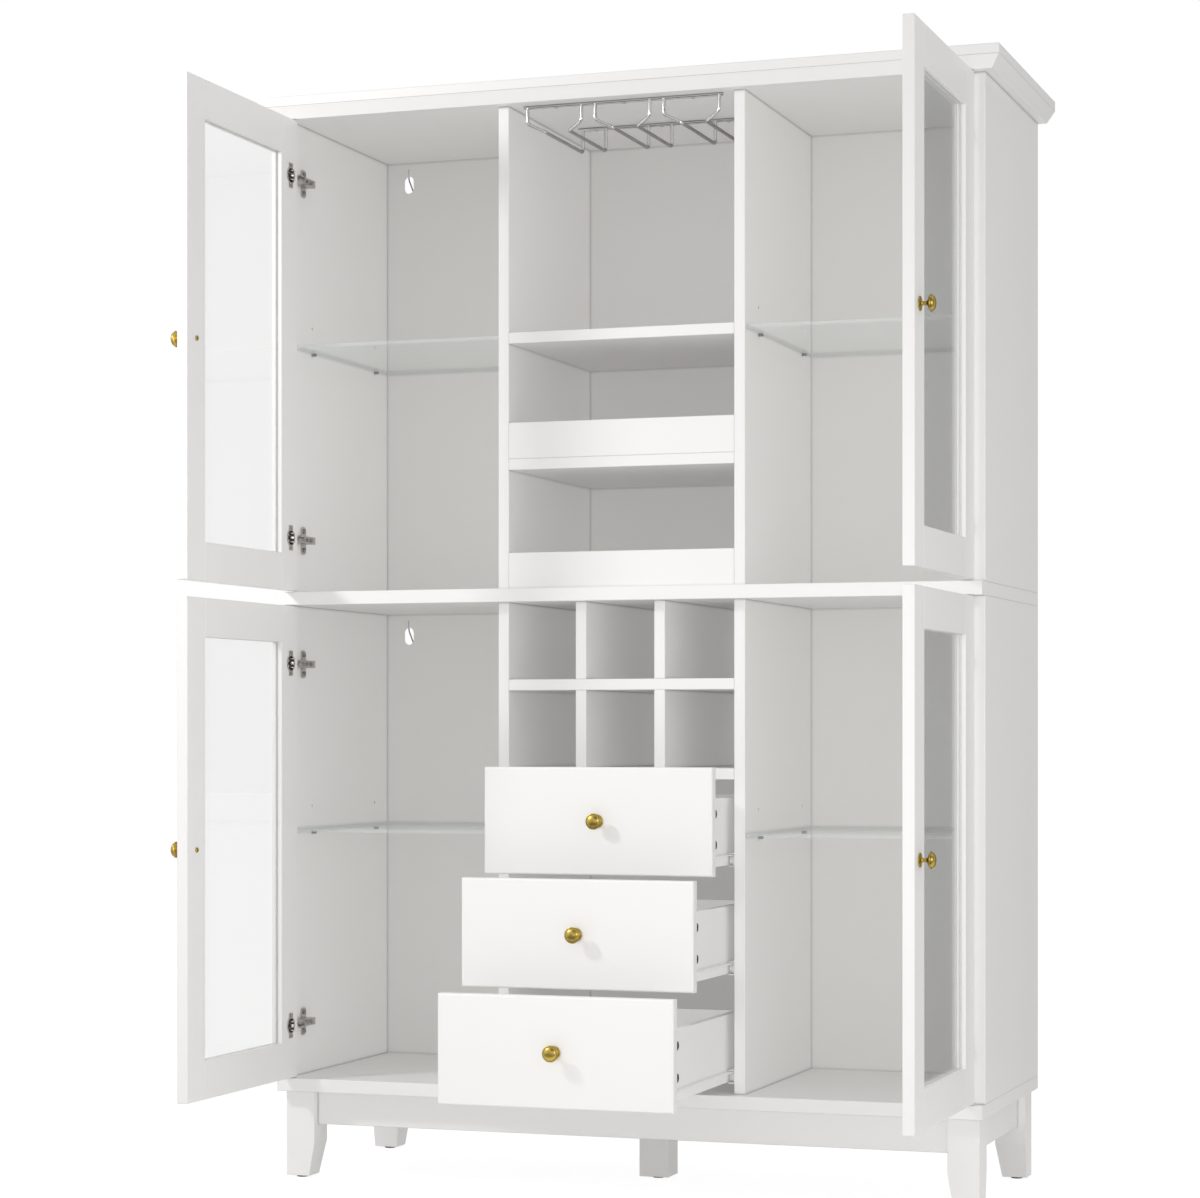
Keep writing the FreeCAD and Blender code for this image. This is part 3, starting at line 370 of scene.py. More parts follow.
def painted_board(name, base, sizes, softness=1.0, seam_shade_depth=0.30, roughness=0.42,
                  peel_scale=620.0, peel_height=0.10 * MM):
    """Sprayed paint: faint orange peel, soft edges, painted shade at seams and inner corners, and a slow
    change of tone.
    """
    material, tree, shader = begin_material(name)
    point = object_point(tree)
    slow = noise(tree, point, scale=2.3, detail=2.0)
    fine = noise(tree, point, scale=peel_scale, detail=2.0, roughness=0.45)
    specks = noise(tree, point, scale=60.0, detail=4.0)
    tone = blended(tree, slow, dimmed(base, 0.985), dimmed(base, 1.012))
    soft = soft_normal(tree, sizes.edge_round * softness)
    feed(tree, shader, {
        # Painted shade: the seam depth sets how much darker the paint is drawn at seams and inner corners
        "Base Color": painted_seam_shade(tree, tone, sizes.seam_shade_reach, seam_shade_depth),
        "Roughness": between(tree, specks, roughness - 0.05, roughness + 0.06),
        "Normal": bump(tree, fine, strength=0.12, distance=peel_height, normal=soft),
        "Specular IOR Level": 0.42,
    })
    return material


def fibre_board(name, base, sizes):
    """A thin hardboard back: faint upright grain under a printed white face, with painted shade at seams and
    inner corners.
    """
    material, tree, shader = begin_material(name)
    point = object_point(tree)
    grain = noise(tree, stretched(tree, point, (180.0, 180.0, 9.0)), scale=1.0, detail=4.0)
    slow = noise(tree, point, scale=1.6, detail=2.0)
    tone = blended(tree, slow, dimmed(base, 0.98), dimmed(base, 1.01))
    feed(tree, shader, {
        # Painted shade at seams and inner corners
        "Base Color": painted_seam_shade(tree, tone, sizes.seam_shade_reach, depth=0.30),
        "Roughness": between(tree, grain, low=0.46, high=0.60),
        "Normal": bump(tree, grain, strength=0.10, distance=0.12 * MM),
    })
    return material


def plated_metal(name, base, roughness, mottling, recess_shade=0.0, limb_shade=0.0):
    """Plated or polished metal with faint haze, fine scratches, painted shade in its recesses and painted
    shade toward its limbs.
    """
    material, tree, shader = begin_material(name)
    point = object_point(tree)
    haze = noise(tree, point, scale=140.0, detail=4.0)
    scratches = noise(tree, stretched(tree, point, (2400.0, 2400.0, 260.0)), scale=1.0, detail=2.0)
    tone = blended(tree, haze, dimmed(base, 1.0 - mottling), dimmed(base, 1.0 + mottling))
    # Painted shade: the colour darkens where ambient occlusion finds a recess
    if recess_shade > 0.0:
        hollow = node(tree, "ShaderNodeAmbientOcclusion", {"Distance": 4.0 * MM}, samples=6, only_local=True)
        tone = blended(tree, hollow.outputs["AO"], dimmed(base, 1.0 - recess_shade), tone)
    # Painted shade: colour and reflection tint darken where the surface turns away from view
    if limb_shade > 0.0:
        facing = node(tree, "ShaderNodeLayerWeight", {"Blend": 0.5}).outputs["Facing"]
        tone = blended(tree, facing, tone, dimmed(base, 1.0 - limb_shade))
        feed(tree, shader, {"Specular Tint": (1.0 - limb_shade, 1.0 - limb_shade, 1.0 - limb_shade, 1.0)})
    feed(tree, shader, {
        "Base Color": tone,
        "Metallic": 1.0,
        "Roughness": between(tree, haze, roughness * 0.75, roughness * 1.3),
        "Normal": bump(tree, scratches, strength=0.05, distance=0.03 * MM),
    })
    return material


def moulded_plastic(name, base, roughness, shine=0.5):
    """Moulded plastic with a fine matt texture."""
    material, tree, shader = begin_material(name)
    point = object_point(tree)
    texture = noise(tree, point, scale=1500.0, detail=2.0)
    slow = noise(tree, point, scale=90.0, detail=2.0)
    feed(tree, shader, {
        "Base Color": blended(tree, slow, dimmed(base, 0.94), dimmed(base, 1.05)),
        "Roughness": between(tree, texture, roughness - 0.06, roughness + 0.08),
        "Normal": bump(tree, texture, strength=0.15, distance=0.05 * MM),
        "Specular IOR Level": shine,
    })
    return material


def beech_wood(name, base):
    """Raw beech with a fine upright grain."""
    material, tree, shader = begin_material(name)
    grain = noise(tree, stretched(tree, object_point(tree), (500.0, 500.0, 40.0)), scale=1.0, detail=5.0)
    feed(tree, shader, {
        "Base Color": blended(tree, grain, dimmed(base, 0.78), dimmed(base, 1.12)),
        "Roughness": between(tree, grain, low=0.55, high=0.75),
        "Normal": bump(tree, grain, strength=0.2, distance=0.1 * MM),
    })
    return material


def float_glass(name, tint, edge_tint, mirror_tone, refraction=1.45):
    """Flat glass: light passes straight through with a tint, and the faces mirror by Fresnel.

    The faces that lie level have the tint, and the others the edge tint.
    """
    material, tree = bare_material(name)
    point = object_point(tree)
    waves = noise(tree, point, scale=3.0, detail=1.0)
    smears = noise(tree, point, scale=22.0, detail=3.0)
    normal = bump(tree, waves, strength=0.012, distance=2.0 * MM)
    facing = node(tree, "ShaderNodeTexCoord").outputs["Normal"]
    upright = node(tree, "ShaderNodeSeparateXYZ", {"Vector": facing}).outputs["Z"]
    level = node(tree, "ShaderNodeMath", {0: upright}, operation="ABSOLUTE").outputs[0]
    clear = node(tree, "ShaderNodeBsdfTransparent", {"Color": blended(tree, level, edge_tint, tint)})
    mirror = node(tree, "ShaderNodeBsdfGlossy",
                  {"Color": (mirror_tone, mirror_tone, mirror_tone, 1.0),
                   "Roughness": between(tree, smears, low=0.0, high=0.05), "Normal": normal})
    leaving = node(tree, "ShaderNodeNewGeometry").outputs["Backfacing"]
    fresnel = node(tree, "ShaderNodeFresnel",
                   {"IOR": between(tree, leaving, refraction, 1 / refraction), "Normal": normal})
    mixed = node(tree, "ShaderNodeMixShader",
                 {0: fresnel.outputs["Fac"], 1: clear.outputs["BSDF"], 2: mirror.outputs["BSDF"]})
    node(tree, "ShaderNodeOutputMaterial", {"Surface": mixed.outputs["Shader"]})
    return material


def finish(name):
    """Make each finish once, by name, from the settings."""
    if name in bpy.data.materials:
        return bpy.data.materials[name]
    colours = bpy.context.scene.cabinet_finishes
    sizes = bpy.context.scene.cabinet_fittings
    makers = {
        # Seam depths set the painted shade at seams and inner corners; recess and limb shades set the painted
        # shade on the metals
        "satin_paint": lambda: painted_board(name, colours.paint, sizes),
        "door_paint": lambda: painted_board(name, colours.paint, sizes, seam_shade_depth=0.08),
        "drawer_foil": lambda: painted_board(
            name, colours.drawer, sizes, softness=0.5, seam_shade_depth=0.20, roughness=0.48,
            peel_scale=900.0, peel_height=0.06 * MM),
        "powder_coat": lambda: painted_board(
            name, colours.powder, sizes, softness=0.3, seam_shade_depth=0.15, roughness=0.40,
            peel_scale=1300.0, peel_height=0.08 * MM),
        "back_face": lambda: fibre_board(name, colours.back, sizes),
        "satin_brass": lambda: plated_metal(
            name, colours.brass, roughness=0.33, mottling=0.05, recess_shade=0.75, limb_shade=0.6),
        "bright_chrome": lambda: plated_metal(name, colours.chrome, roughness=0.14, mottling=0.03, limb_shade=0.5),
        "satin_nickel": lambda: plated_metal(name, colours.nickel, roughness=0.30, mottling=0.08, recess_shade=0.6),
        "zinc_plate": lambda: plated_metal(name, colours.zinc, roughness=0.32, mottling=0.10, recess_shade=0.5),
        "dark_oxide": lambda: plated_metal(name, colours.dark_fitting, roughness=0.40, mottling=0.15),
        "white_nylon": lambda: moulded_plastic(name, colours.nylon, roughness=0.42),
        "black_plastic": lambda: moulded_plastic(name, colours.black_plastic, roughness=0.6, shine=0.08),
        "raw_beech": lambda: beech_wood(name, colours.beech),
        "door_glass": lambda: float_glass(name, colours.pane_tint, colours.pane_tint, mirror_tone=0.955),
        "shelf_glass": lambda: float_glass(name, colours.shelf_tint, colours.shelf_edge, mirror_tone=0.45),
    }
    return makers[name]()


def clothe(object_, finish_name):
    """Put one finish on every material slot of an object."""
    material = finish(finish_name)
    slots = object_.data.materials
    if not slots:
        slots.append(material)
    for index in range(len(slots)):
        slots[index] = material


# Mesh helpers


def mesh_object(name, mesh):
    made = bpy.data.objects.new(name, mesh)
    bpy.context.scene.collection.objects.link(made)
    return made


def shape_object(name, built):
    """Make an object from a bmesh, and free the bmesh."""
    mesh = bpy.data.meshes.new(name)
    built.to_mesh(mesh)
    built.free()
    return mesh_object(name, mesh)


def creased(object_, degrees=CREASE):
    """Shade an object smooth, with creases sharper than the angle kept."""
    mesh = object_.data
    mesh.polygons.foreach_set("use_smooth", [True] * len(mesh.polygons))
    built = bmesh.new()
    built.from_mesh(mesh)
    for edge in built.edges:
        edge.smooth = len(edge.link_faces) == 2 and edge.calc_face_angle(0.0) < math.radians(degrees)
    built.to_mesh(mesh)
    built.free()
    return object_


def turned(name, outline, segments):
    """Spin an outline of (radius, height) points about +Z into a closed object."""
    built = bmesh.new()
    verts = [built.verts.new((radius, 0.0, height)) for radius, height in outline]
    edges = [built.edges.new(pair) for pair in zip(verts, verts[1:])]
    bmesh.ops.spin(built, geom=verts + edges, cent=(0, 0, 0), axis=UP,
                   angle=math.tau, steps=segments, use_merge=True)
    bmesh.ops.remove_doubles(built, verts=built.verts, dist=WELD_GAP)
    bmesh.ops.recalc_face_normals(built, faces=built.faces)
    return shape_object(name, built)


def arc(centre, radius, start, end, steps):
    """Points of (radius, height) on an arc in the outline's plane, angles in degrees."""
    points = []
    for step in range(steps + 1):
        angle = math.radians(start + (end - start) * step / steps)
        points.append((centre[0] + radius * math.cos(angle), centre[1] + radius * math.sin(angle)))
    return points


def block(built, low, high):
    """Add a box between two corners."""
    centre = (Vector(low) + Vector(high)) / 2
    size = Vector(high) - Vector(low)
    bmesh.ops.create_cube(built, size=1.0, matrix=Matrix.Translation(centre) @ Matrix.Diagonal((*size, 1.0)))


def apply_modifiers(object_):
    """Replace the mesh with its evaluated form and drop the modifiers."""
    depsgraph = bpy.context.evaluated_depsgraph_get()
    made = bpy.data.meshes.new_from_object(object_.evaluated_get(depsgraph), depsgraph=depsgraph)
    object_.modifiers.clear()
    object_.data = made
    return object_


def rounded(object_, width, segments=2, angle=30.0):
    """Round every edge of an object that is sharper than the angle."""
    modifier = object_.modifiers.new("round", "BEVEL")
    modifier.width = width
    modifier.segments = segments
    modifier.limit_method = "ANGLE"
    modifier.angle_limit = math.radians(angle)
    return apply_modifiers(object_)


def crossed(object_, reach, half_width, low, high):
    """Cut a cross of two slots into an object's top, and crease it."""
    built = bmesh.new()
    for along, across in ((reach, half_width), (half_width, reach)):
        block(built, (-along, -across, low), (along, across, high))
    cutter = shape_object("cross_cutter", built)
    cut = object_.modifiers.new("cross", "BOOLEAN")
    cut.operation = "DIFFERENCE"
    cut.solver = "EXACT"
    cut.use_self = True
    cut.object = cutter
    apply_modifiers(object_)
    bpy.data.objects.remove(cutter)
    return creased(object_)


def cad_copy(node_name):
    """A welded copy of a CAD node as a bmesh."""
    built = bmesh.new()
    built.from_mesh(frame["nodes"][node_name].data)
    bmesh.ops.remove_doubles(built, verts=built.verts, dist=WELD_GAP)
    return built


def islands(node_name):
    """Lowest and highest corner of each separate solid in a CAD node."""
    built = cad_copy(node_name)
    seen, boxes = set(), []
    for first in built.verts:
        if first in seen:
            continue
        seen.add(first)
        stack, found = [first], []
        while stack:
            vertex = stack.pop()
            found.append(vertex.co.copy())
            for edge in vertex.link_edges:
                other = edge.other_vert(vertex)
                if other not in seen:
                    seen.add(other)
                    stack.append(other)
        boxes.append((Vector(map(min, zip(*found))), Vector(map(max, zip(*found)))))
    built.free()
    return boxes


def body_of(node_name):
    for body, members in frame["record"]["behaviour"]["bodies"].items():
        if node_name in members:
            return body
    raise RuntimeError("no body holds " + node_name)


def settle(piece, node_name, finish_name):
    """Give a finished piece its material and body, and hide the CAD node that it stands for."""
    clothe(piece, finish_name)
    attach(piece, body_of(node_name))
    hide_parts(node_name)
    return piece


# Geometry node trees


def tree_with(name, inputs):
    """A geometry tree with named inputs; returns it with its input and output nodes."""
    tree = bpy.data.node_groups.new(name, "GeometryNodeTree")
    tree.interface.new_socket("Geometry", in_out="INPUT", socket_type="NodeSocketGeometry")
    for label, kind in inputs:
        tree.interface.new_socket(label, in_out="INPUT", socket_type=kind)
    tree.interface.new_socket("Geometry", in_out="OUTPUT", socket_type="NodeSocketGeometry")
    return tree, node(tree, "NodeGroupInput"), node(tree, "NodeGroupOutput")


def end_tree(tree, entry, leave, geometry):
    """Close a tree with Realize Instances and Set Material."""
    real = node(tree, "GeometryNodeRealizeInstances", {"Geometry": geometry})
    dressed = node(tree, "GeometryNodeSetMaterial",
                   {"Geometry": real.outputs["Geometry"], "Material": entry.outputs["Finish"]})
    tree.links.new(dressed.outputs["Geometry"], leave.inputs["Geometry"])
    return tree


def seated_fittings_tree():
    """Sets one fitting on every point, turned and sized by the point's own attributes."""
    if "seated_fittings" in bpy.data.node_groups:
        return bpy.data.node_groups["seated_fittings"]
    tree, entry, leave = tree_with("seated_fittings", (("Fitting", "NodeSocketObject"),
                                                       ("Finish", "NodeSocketMaterial")))
    fitting = node(tree, "GeometryNodeObjectInfo", {"Object": entry.outputs["Fitting"]})
    turn = node(tree, "GeometryNodeInputNamedAttribute", {"Name": "turn"}, data_type="QUATERNION")
    size = node(tree, "GeometryNodeInputNamedAttribute", {"Name": "size"}, data_type="FLOAT_VECTOR")
    placed = node(tree, "GeometryNodeInstanceOnPoints",
                  {"Points": entry.outputs["Geometry"], "Instance": fitting.outputs["Geometry"],
                   "Rotation": turn.outputs["Attribute"], "Scale": size.outputs["Attribute"]})
    return end_tree(tree, entry, leave, placed.outputs["Instances"])


def round_wire_tree():
    """Turns each run of edges into a round wire with filleted bends."""
    if "round_wire" in bpy.data.node_groups:
        return bpy.data.node_groups["round_wire"]
    tree, entry, leave = tree_with("round_wire", (("Wire Radius", "NodeSocketFloat"),
                                                  ("Bend Radius", "NodeSocketFloat"),
                                                  ("Finish", "NodeSocketMaterial")))
    run = node(tree, "GeometryNodeMeshToCurve", {"Mesh": entry.outputs["Geometry"]})
    bent = node(tree, "GeometryNodeFilletCurve",
                {"Curve": run.outputs["Curve"], "Radius": entry.outputs["Bend Radius"],
                 "Limit Radius": True, "Count": 7}, mode="POLY")
    ring = node(tree, "GeometryNodeCurvePrimitiveCircle",
                {"Resolution": 20, "Radius": entry.outputs["Wire Radius"]})
    wire = node(tree, "GeometryNodeCurveToMesh",
                {"Curve": bent.outputs["Curve"], "Profile Curve": ring.outputs["Curve"], "Fill Caps": True})
    smooth = node(tree, "GeometryNodeSetShadeSmooth", {"Geometry": wire.outputs["Mesh"]})
    return end_tree(tree, entry, leave, smooth.outputs["Geometry"])


def run_tree(object_, tree, values):
    """Put a tree on an object with its inputs set by identifier, and keep the plain result."""
    modifier = object_.modifiers.new(tree.name, "NODES")
    modifier.node_group = tree
    sockets = {item.name: item.identifier for item in tree.interface.items_tree if item.in_out == "INPUT"}
    for label, value in values.items():
        modifier[sockets[label]] = value
    return apply_modifiers(object_)


def seated(name, template, seats, finish_name):
    """Set a template on seats of (place, turn, size), as one plain mesh object."""
    mesh = bpy.data.meshes.new(name + "_seats")
    mesh.from_pydata([tuple(point) for point, _, _ in seats], [], [])
    turns = [part for _, turn, _ in seats for part in turn]
    mesh.attributes.new("turn", "QUATERNION", "POINT").data.foreach_set("value", turns)
    sizes = [size for _, _, size in seats for _ in range(3)]
    mesh.attributes.new("size", "FLOAT_VECTOR", "POINT").data.foreach_set("vector", sizes)
    made = mesh_object(name, mesh)
    run_tree(made, seated_fittings_tree(), {"Fitting": template, "Finish": finish(finish_name)})
    made.data.name = name
    return made


def wires(name, runs, radius, bend_radius, finish_name):
    """One object of round wires along runs of points."""
    points, edges = [], []
    for run in runs:
        first = len(points)
        points += [tuple(point) for point in run]
        edges += [(first + step, first + step + 1) for step in range(len(run) - 1)]
    mesh = bpy.data.meshes.new(name)
    mesh.from_pydata(points, edges, [])
    return run_tree(mesh_object(name, mesh), round_wire_tree(),
                    {"Wire Radius": radius, "Bend Radius": bend_radius, "Finish": finish(finish_name)})


def joined(name, objects):
    """Join plain mesh objects that share one finish into one object."""
    built = bmesh.new()
    for source in objects:
        built.from_mesh(source.data)
        bpy.data.objects.remove(source)
    return shape_object(name, built)


# Where the CAD fittings sit


def facing_turn(direction):
    """The turn that takes +Z to the direction, with +Y kept upwards where it can be."""
    z_axis = Vector(direction).normalized()
    side = Vector(UP).cross(z_axis)
    if side.length < WELD_GAP:
        side = Vector((1, 0, 0))
    x_axis = side.normalized()
    y_axis = z_axis.cross(x_axis)
    return Matrix((x_axis, y_axis, z_axis)).transposed().to_quaternion()


def odd_axis(low, high):
    """The axis whose length differs from the two equal ones of a turned solid."""
    size = high - low
    gaps = [abs(size[(axis + 1) % 3] - size[(axis + 2) % 3]) for axis in range(3)]
    return gaps.index(min(gaps))


def inward(low, high, axis):
    """Along the axis: from a fitting to the cabinet's middle plane, to its back, or down."""
    if axis == 2:
        return Vector((0, 0, -1))
    if axis == 0:
        return Vector((-math.copysign(1.0, (low + high).x), 0, 0))
    return Vector((0, 1, 0))


def seat_under(low, high, direction, axis, depth=0.0):
    """Where a template stands: at that depth below the outer end of a solid's box, with its turn."""
    point = (low + high) / 2
    tip = high[axis] if direction[axis] > 0 else low[axis]
    point[axis] = tip - direction[axis] * depth
    return point, facing_turn(direction)


# Small fittings, each made once at the origin with its axis on +Z


def pan_head_screw():
    """A pan head with a cross recess and a short shank."""
    radius, rise, shank = SCREW_HEAD_RADIUS, SCREW_HEAD_RISE, SCREW_SHANK_RADIUS
    outline = [(0, -SCREW_SHANK_LENGTH), (shank, -SCREW_SHANK_LENGTH), (shank, 0)]
    outline += [(radius, 0), (radius, rise * 0.3)]
    outline += arc((radius * 0.62, rise * 0.45), radius * 0.38, 0, 90, 5)[1:]
    outline += [(radius * 0.3, rise * 1.12), (0, rise * 1.15)]
    head = turned("screw_head", outline, segments=32)
    return crossed(head, SCREW_RECESS_REACH, SCREW_RECESS_HALF_WIDTH, rise - SCREW_RECESS_DEPTH, rise * 2)


def shelf_pin():
    """A pin below z 0 with a rounded tip there."""
    radius, end = PIN_RADIUS, PIN_END_ROUND
    outline = [(0, -PIN_LENGTH), (radius, -PIN_LENGTH), (radius, -end)]
    outline += arc((radius - end, -end), end, 0, 90, 4)[1:]
    return creased(turned("shelf_pin", outline + [(0, 0)], segments=32), degrees=50)


def cam_disc():
    """A flush cam disc with a rim and a cross slot."""
    radius = CAM_RADIUS
    rim = radius * 0.12
    outline = [(0, -CAM_DEPTH), (radius, -CAM_DEPTH), (radius, -rim)]
    outline += arc((radius - rim, -rim), rim, 0, 90, 3)[1:]
    outline += [(radius * 0.78, 0), (radius * 0.74, -rim), (0, -rim)]
    disc = turned("cam_disc", outline, segments=40)
    return crossed(disc, radius * 0.6, radius * 0.13, -rim * 3, rim)


def glide_foot(radius):
    """A domed glide with its underside at z 0 and a stem above."""
    tall, stem = GLIDE_HEIGHT, GLIDE_STEM_RADIUS
    lip = tall * 0.35
    outline = [(0, 0), (radius - lip, 0)]
    outline += arc((radius - lip, lip), lip, -90, 0, 5)[1:]
    outline += [(radius, tall * 0.8), (radius * 0.93, tall), (stem, tall), (stem, tall * 3), (0, tall * 3)]
    return creased(turned("glide_foot", outline, segments=40))


def roller_wheel(radius, wide):
    """A nylon roller halved by z 0, with a soft tread and recessed faces."""
    bore, soft, half = ROLLER_BORE_RADIUS, wide * 0.14, wide / 2
    face = [(bore, half), (bore * 1.7, half), (bore * 1.9, half - soft),
            (radius * 0.74, half - soft), (radius * 0.78, half)]
    outline = [(out, -height) for out, height in face]
    outline += arc((radius - soft, -half + soft), soft, -90, 0, 4)
    outline += arc((radius - soft, half - soft), soft, 0, 90, 4)
    outline += face[::-1] + [(bore, -half)]
    return creased(turned("roller_wheel", outline, segments=48))


def turned_knob(sizes):
    """A knob with a flange, a cove, a neck, a banded rim and a domed cap, its foot at z 0."""
    base, neck, reach = sizes.knob_base_radius, sizes.knob_neck_radius, sizes.knob_reach
    wide, thick = sizes.knob_cap_radius, sizes.knob_cap_thickness
    cap_back = reach - thick
    rim, band = KNOB_BASE_ROUND, KNOB_BAND
    outline = [(0, 0)] + arc((base - rim, rim), rim, -90, 60, 6)
    outline += [(base * across, height) for across, height in KNOB_COVE]
    outline += [(neck * across, cap_back * up) for across, up in KNOB_NECK_SHARES]
    outline += [(wide * across, cap_back + thick * up) for across, up in KNOB_CAP_SHARES]
    middle = cap_back + thick * KNOB_SHOULDER_SHARE
    outline += arc((wide - 2 * band, middle), 2 * band, -40, 70, 6)
    shoulder = middle + 2 * band
    outline += [(wide - 2 * band, shoulder), (wide - 2.4 * band, shoulder + band * 0.1)]
    dome = wide - 2.6 * band
    for angle in range(4, 90, 6):
        turn = math.radians(angle)
        outline.append((dome * math.cos(turn) ** 0.92, shoulder + (reach - shoulder) * math.sin(turn)))
    return creased(turned("turned_knob", outline + [(0, reach)], segments=64), degrees=KNOB_CREASE)


def cup_shell():
    """The pressed cup, open at the door's inner face, with a rolled lip."""
    radius, deep, wall, lip = CUP_RADIUS, CUP_DEPTH, CUP_WALL, CUP_LIP
    outer, inner = CUP_OUTER_ROUND, CUP_INNER_ROUND
    rim = radius + CUP_RIM - lip
    outline = [(0, -deep), (radius - outer, -deep)]
    outline += arc((radius - outer, -deep + outer), outer, -90, 0, 4)
    outline += [(radius, 0), (rim, 0)]
    outline += arc((rim, lip), lip, -90, 90, 6)
    outline += [(radius - wall, 2 * lip), (radius - wall, -deep + wall + inner)]
    outline += arc((radius - wall - inner, -deep + wall + inner), inner, 0, -90, 4)[1:]
    return turned("cup_shell", outline + [(0, -deep + wall)], segments=56)


def cup_wings():
    """The two rounded wings above and below the cup that take its screws."""
    built = bmesh.new()
    for sign in (-1, 1):
        ends = sorted((sign * (CUP_RADIUS + WING_GAP), sign * WING_SPAN / 2))
        block(built, (-WING_HALF_WIDTH, ends[0], WING_BOTTOM), (WING_HALF_WIDTH, ends[1], WING_TOP))
    return rounded(shape_object("cup_wings", built), WING_ROUND)


def link_plates(hand):
    """Three plates that pass over, between and under the two prongs of the arm."""
    built = bmesh.new()
    for levels in LINK_LEVELS:
        rings = [[built.verts.new((hand * across * MM, level * MM, height * MM))
                  for across, height in LINK_OUTLINE] for level in levels]
        for ring in rings:
            built.faces.new(ring)
        near, far = rings
        for index in range(len(near)):
            after = (index + 1) % len(near)
            built.faces.new((near[index], near[after], far[after], far[index]))
    bmesh.ops.recalc_face_normals(built, faces=built.faces)
    return rounded(shape_object("link_plates", built), LINK_ROUND)


def link_pins(hand):
    """The pins through the plates, inside the circle that the arm's nose keeps clear."""
    built = bmesh.new()
    lying = Matrix.Rotation(math.pi / 2, 4, "X")
    for across, height in LINK_PINS:
        bmesh.ops.create_cone(built, cap_ends=True, segments=20, radius1=LINK_PIN_RADIUS,
                              radius2=LINK_PIN_RADIUS, depth=LINK_PIN_LENGTH,
                              matrix=Matrix.Translation((hand * across * MM, 0, height * MM)) @ lying)
    return shape_object("link_pins", built)


def hinge_cup(hand):
    """A cup with its wings, plates and pins; hand 1 has the door's hinge edge toward +X, and -1 toward -X."""
    return creased(joined("hinge_cup", [cup_shell(), cup_wings(), link_plates(hand), link_pins(hand)]))


# Operators


class CABINET_OT_stage(bpy.types.Operator):
    """Set up the floor, the even fill, the lamps, the cards and the camera"""

    bl_idname = "cabinet.stage"
    bl_label = "Set the stage"

    def execute(self, context):
        stage = context.scene.cabinet_stage
        self.floor(stage)
        self.fill(context, stage)
        self.lamp(stage, "key")
        front = self.lamp(stage, "front")
        side = self.lamp(stage, "side")
        front.visible_glossy = False
        for shadowless in (front, side):
            shadowless.data.use_shadow = False
        self.flags(stage)
        self.camera(context, stage)
        context.scene.view_settings.view_transform = "Standard"
        return {"FINISHED"}

    def floor(self, stage):
        half = stage.floor_size / 2
        corners = [(-half, -half, 0), (half, -half, 0), (half, half, 0), (-half, half, 0)]
        mesh = bpy.data.meshes.new("floor")
        mesh.from_pydata(corners, [], [(0, 1, 2, 3)])
        floor = mesh_object("floor", mesh)
        floor.data.materials.append(self.floor_finish(stage))

    def floor_finish(self, stage):
        """Pale to the lamps; in the picture, white with the shadow kept."""
        material, tree = bare_material("floor_white")
        shade = stage.floor_shade
        pale = node(tree, "ShaderNodeBsdfDiffuse", {"Color": opaque(stage.floor_colour)})
        kept = node(tree, "ShaderNodeBsdfDiffuse", {"Color": (shade, shade, shade, 1.0)})
        glow = node(tree, "ShaderNodeEmission", {"Color": WHITE, "Strength": stage.floor_glow})
        seen = node(tree, "ShaderNodeAddShader", {0: kept.outputs["BSDF"], 1: glow.outputs["Emission"]})
        mixed = node(tree, "ShaderNodeMixShader",
                     {0: seen_itself(tree), 1: pale.outputs["BSDF"], 2: seen.outputs["Shader"]})
        node(tree, "ShaderNodeOutputMaterial", {"Surface": mixed.outputs["Shader"]})
        return material

    def fill(self, context, stage):
        """White where the world is seen, and dimmer where it lights."""
        world = context.scene.world or bpy.data.worlds.new("studio")
        context.scene.world = world
        world.use_nodes = True
        tree = world.node_tree
        tree.nodes.clear()
        strength = between(tree, seen_itself(tree), stage.fill_strength, 1.0)
        light = node(tree, "ShaderNodeBackground", {"Color": WHITE, "Strength": strength})
        node(tree, "ShaderNodeOutputWorld", {"Surface": light.outputs["Background"]})

    def lamp(self, stage, name):
        """A round soft lamp that looks at the aim point."""
        light = bpy.data.lights.new(name, "AREA")
        light.shape = "DISK"
        light.size = getattr(stage, name + "_width")
        light.energy = getattr(stage, name + "_power")
        light.color = stage.lamp_colour
        lamp = bpy.data.objects.new(name, light)
        lamp.location = getattr(stage, name + "_place")
        lamp.rotation_mode = "QUATERNION"
        lamp.rotation_quaternion = (Vector(stage.lamp_aim) - lamp.location).to_track_quat("-Z", "Y")
        lamp.visible_camera = False
        bpy.context.scene.collection.objects.link(lamp)
        return lamp

    def flags(self, stage):
        """Grey cards out of the picture, seen only in metal and glass, as a studio has them."""
        points = [corner for card in GREY_CARDS for corner in card]
        mesh = bpy.data.meshes.new("grey_cards")
        mesh.from_pydata(points, [], [tuple(range(first, first + 4)) for first in range(0, len(points), 4)])
        material, tree = bare_material("grey_card")
        tone = node(tree, "ShaderNodeEmission", {"Color": WHITE, "Strength": stage.flag_tone})
        node(tree, "ShaderNodeOutputMaterial", {"Surface": tone.outputs["Emission"]})
        cards = mesh_object("grey_cards", mesh)
        cards.data.materials.append(material)
        for ray in ("camera", "diffuse", "transmission", "shadow", "volume_scatter"):
            setattr(cards, "visible_" + ray, False)

    def camera(self, context, stage):
        lens = bpy.data.cameras.new("camera")
        lens.sensor_width = SENSOR_WIDTH
        lens.lens = stage.focal_length
        lens.shift_y = stage.lens_rise
        lens.clip_end = VIEW_END
        camera = bpy.data.objects.new("camera", lens)
        camera.location = stage.camera_place
        camera.rotation_euler = (math.pi / 2, 0.0, stage.camera_turn)
        context.scene.collection.objects.link(camera)
        context.scene.camera = camera


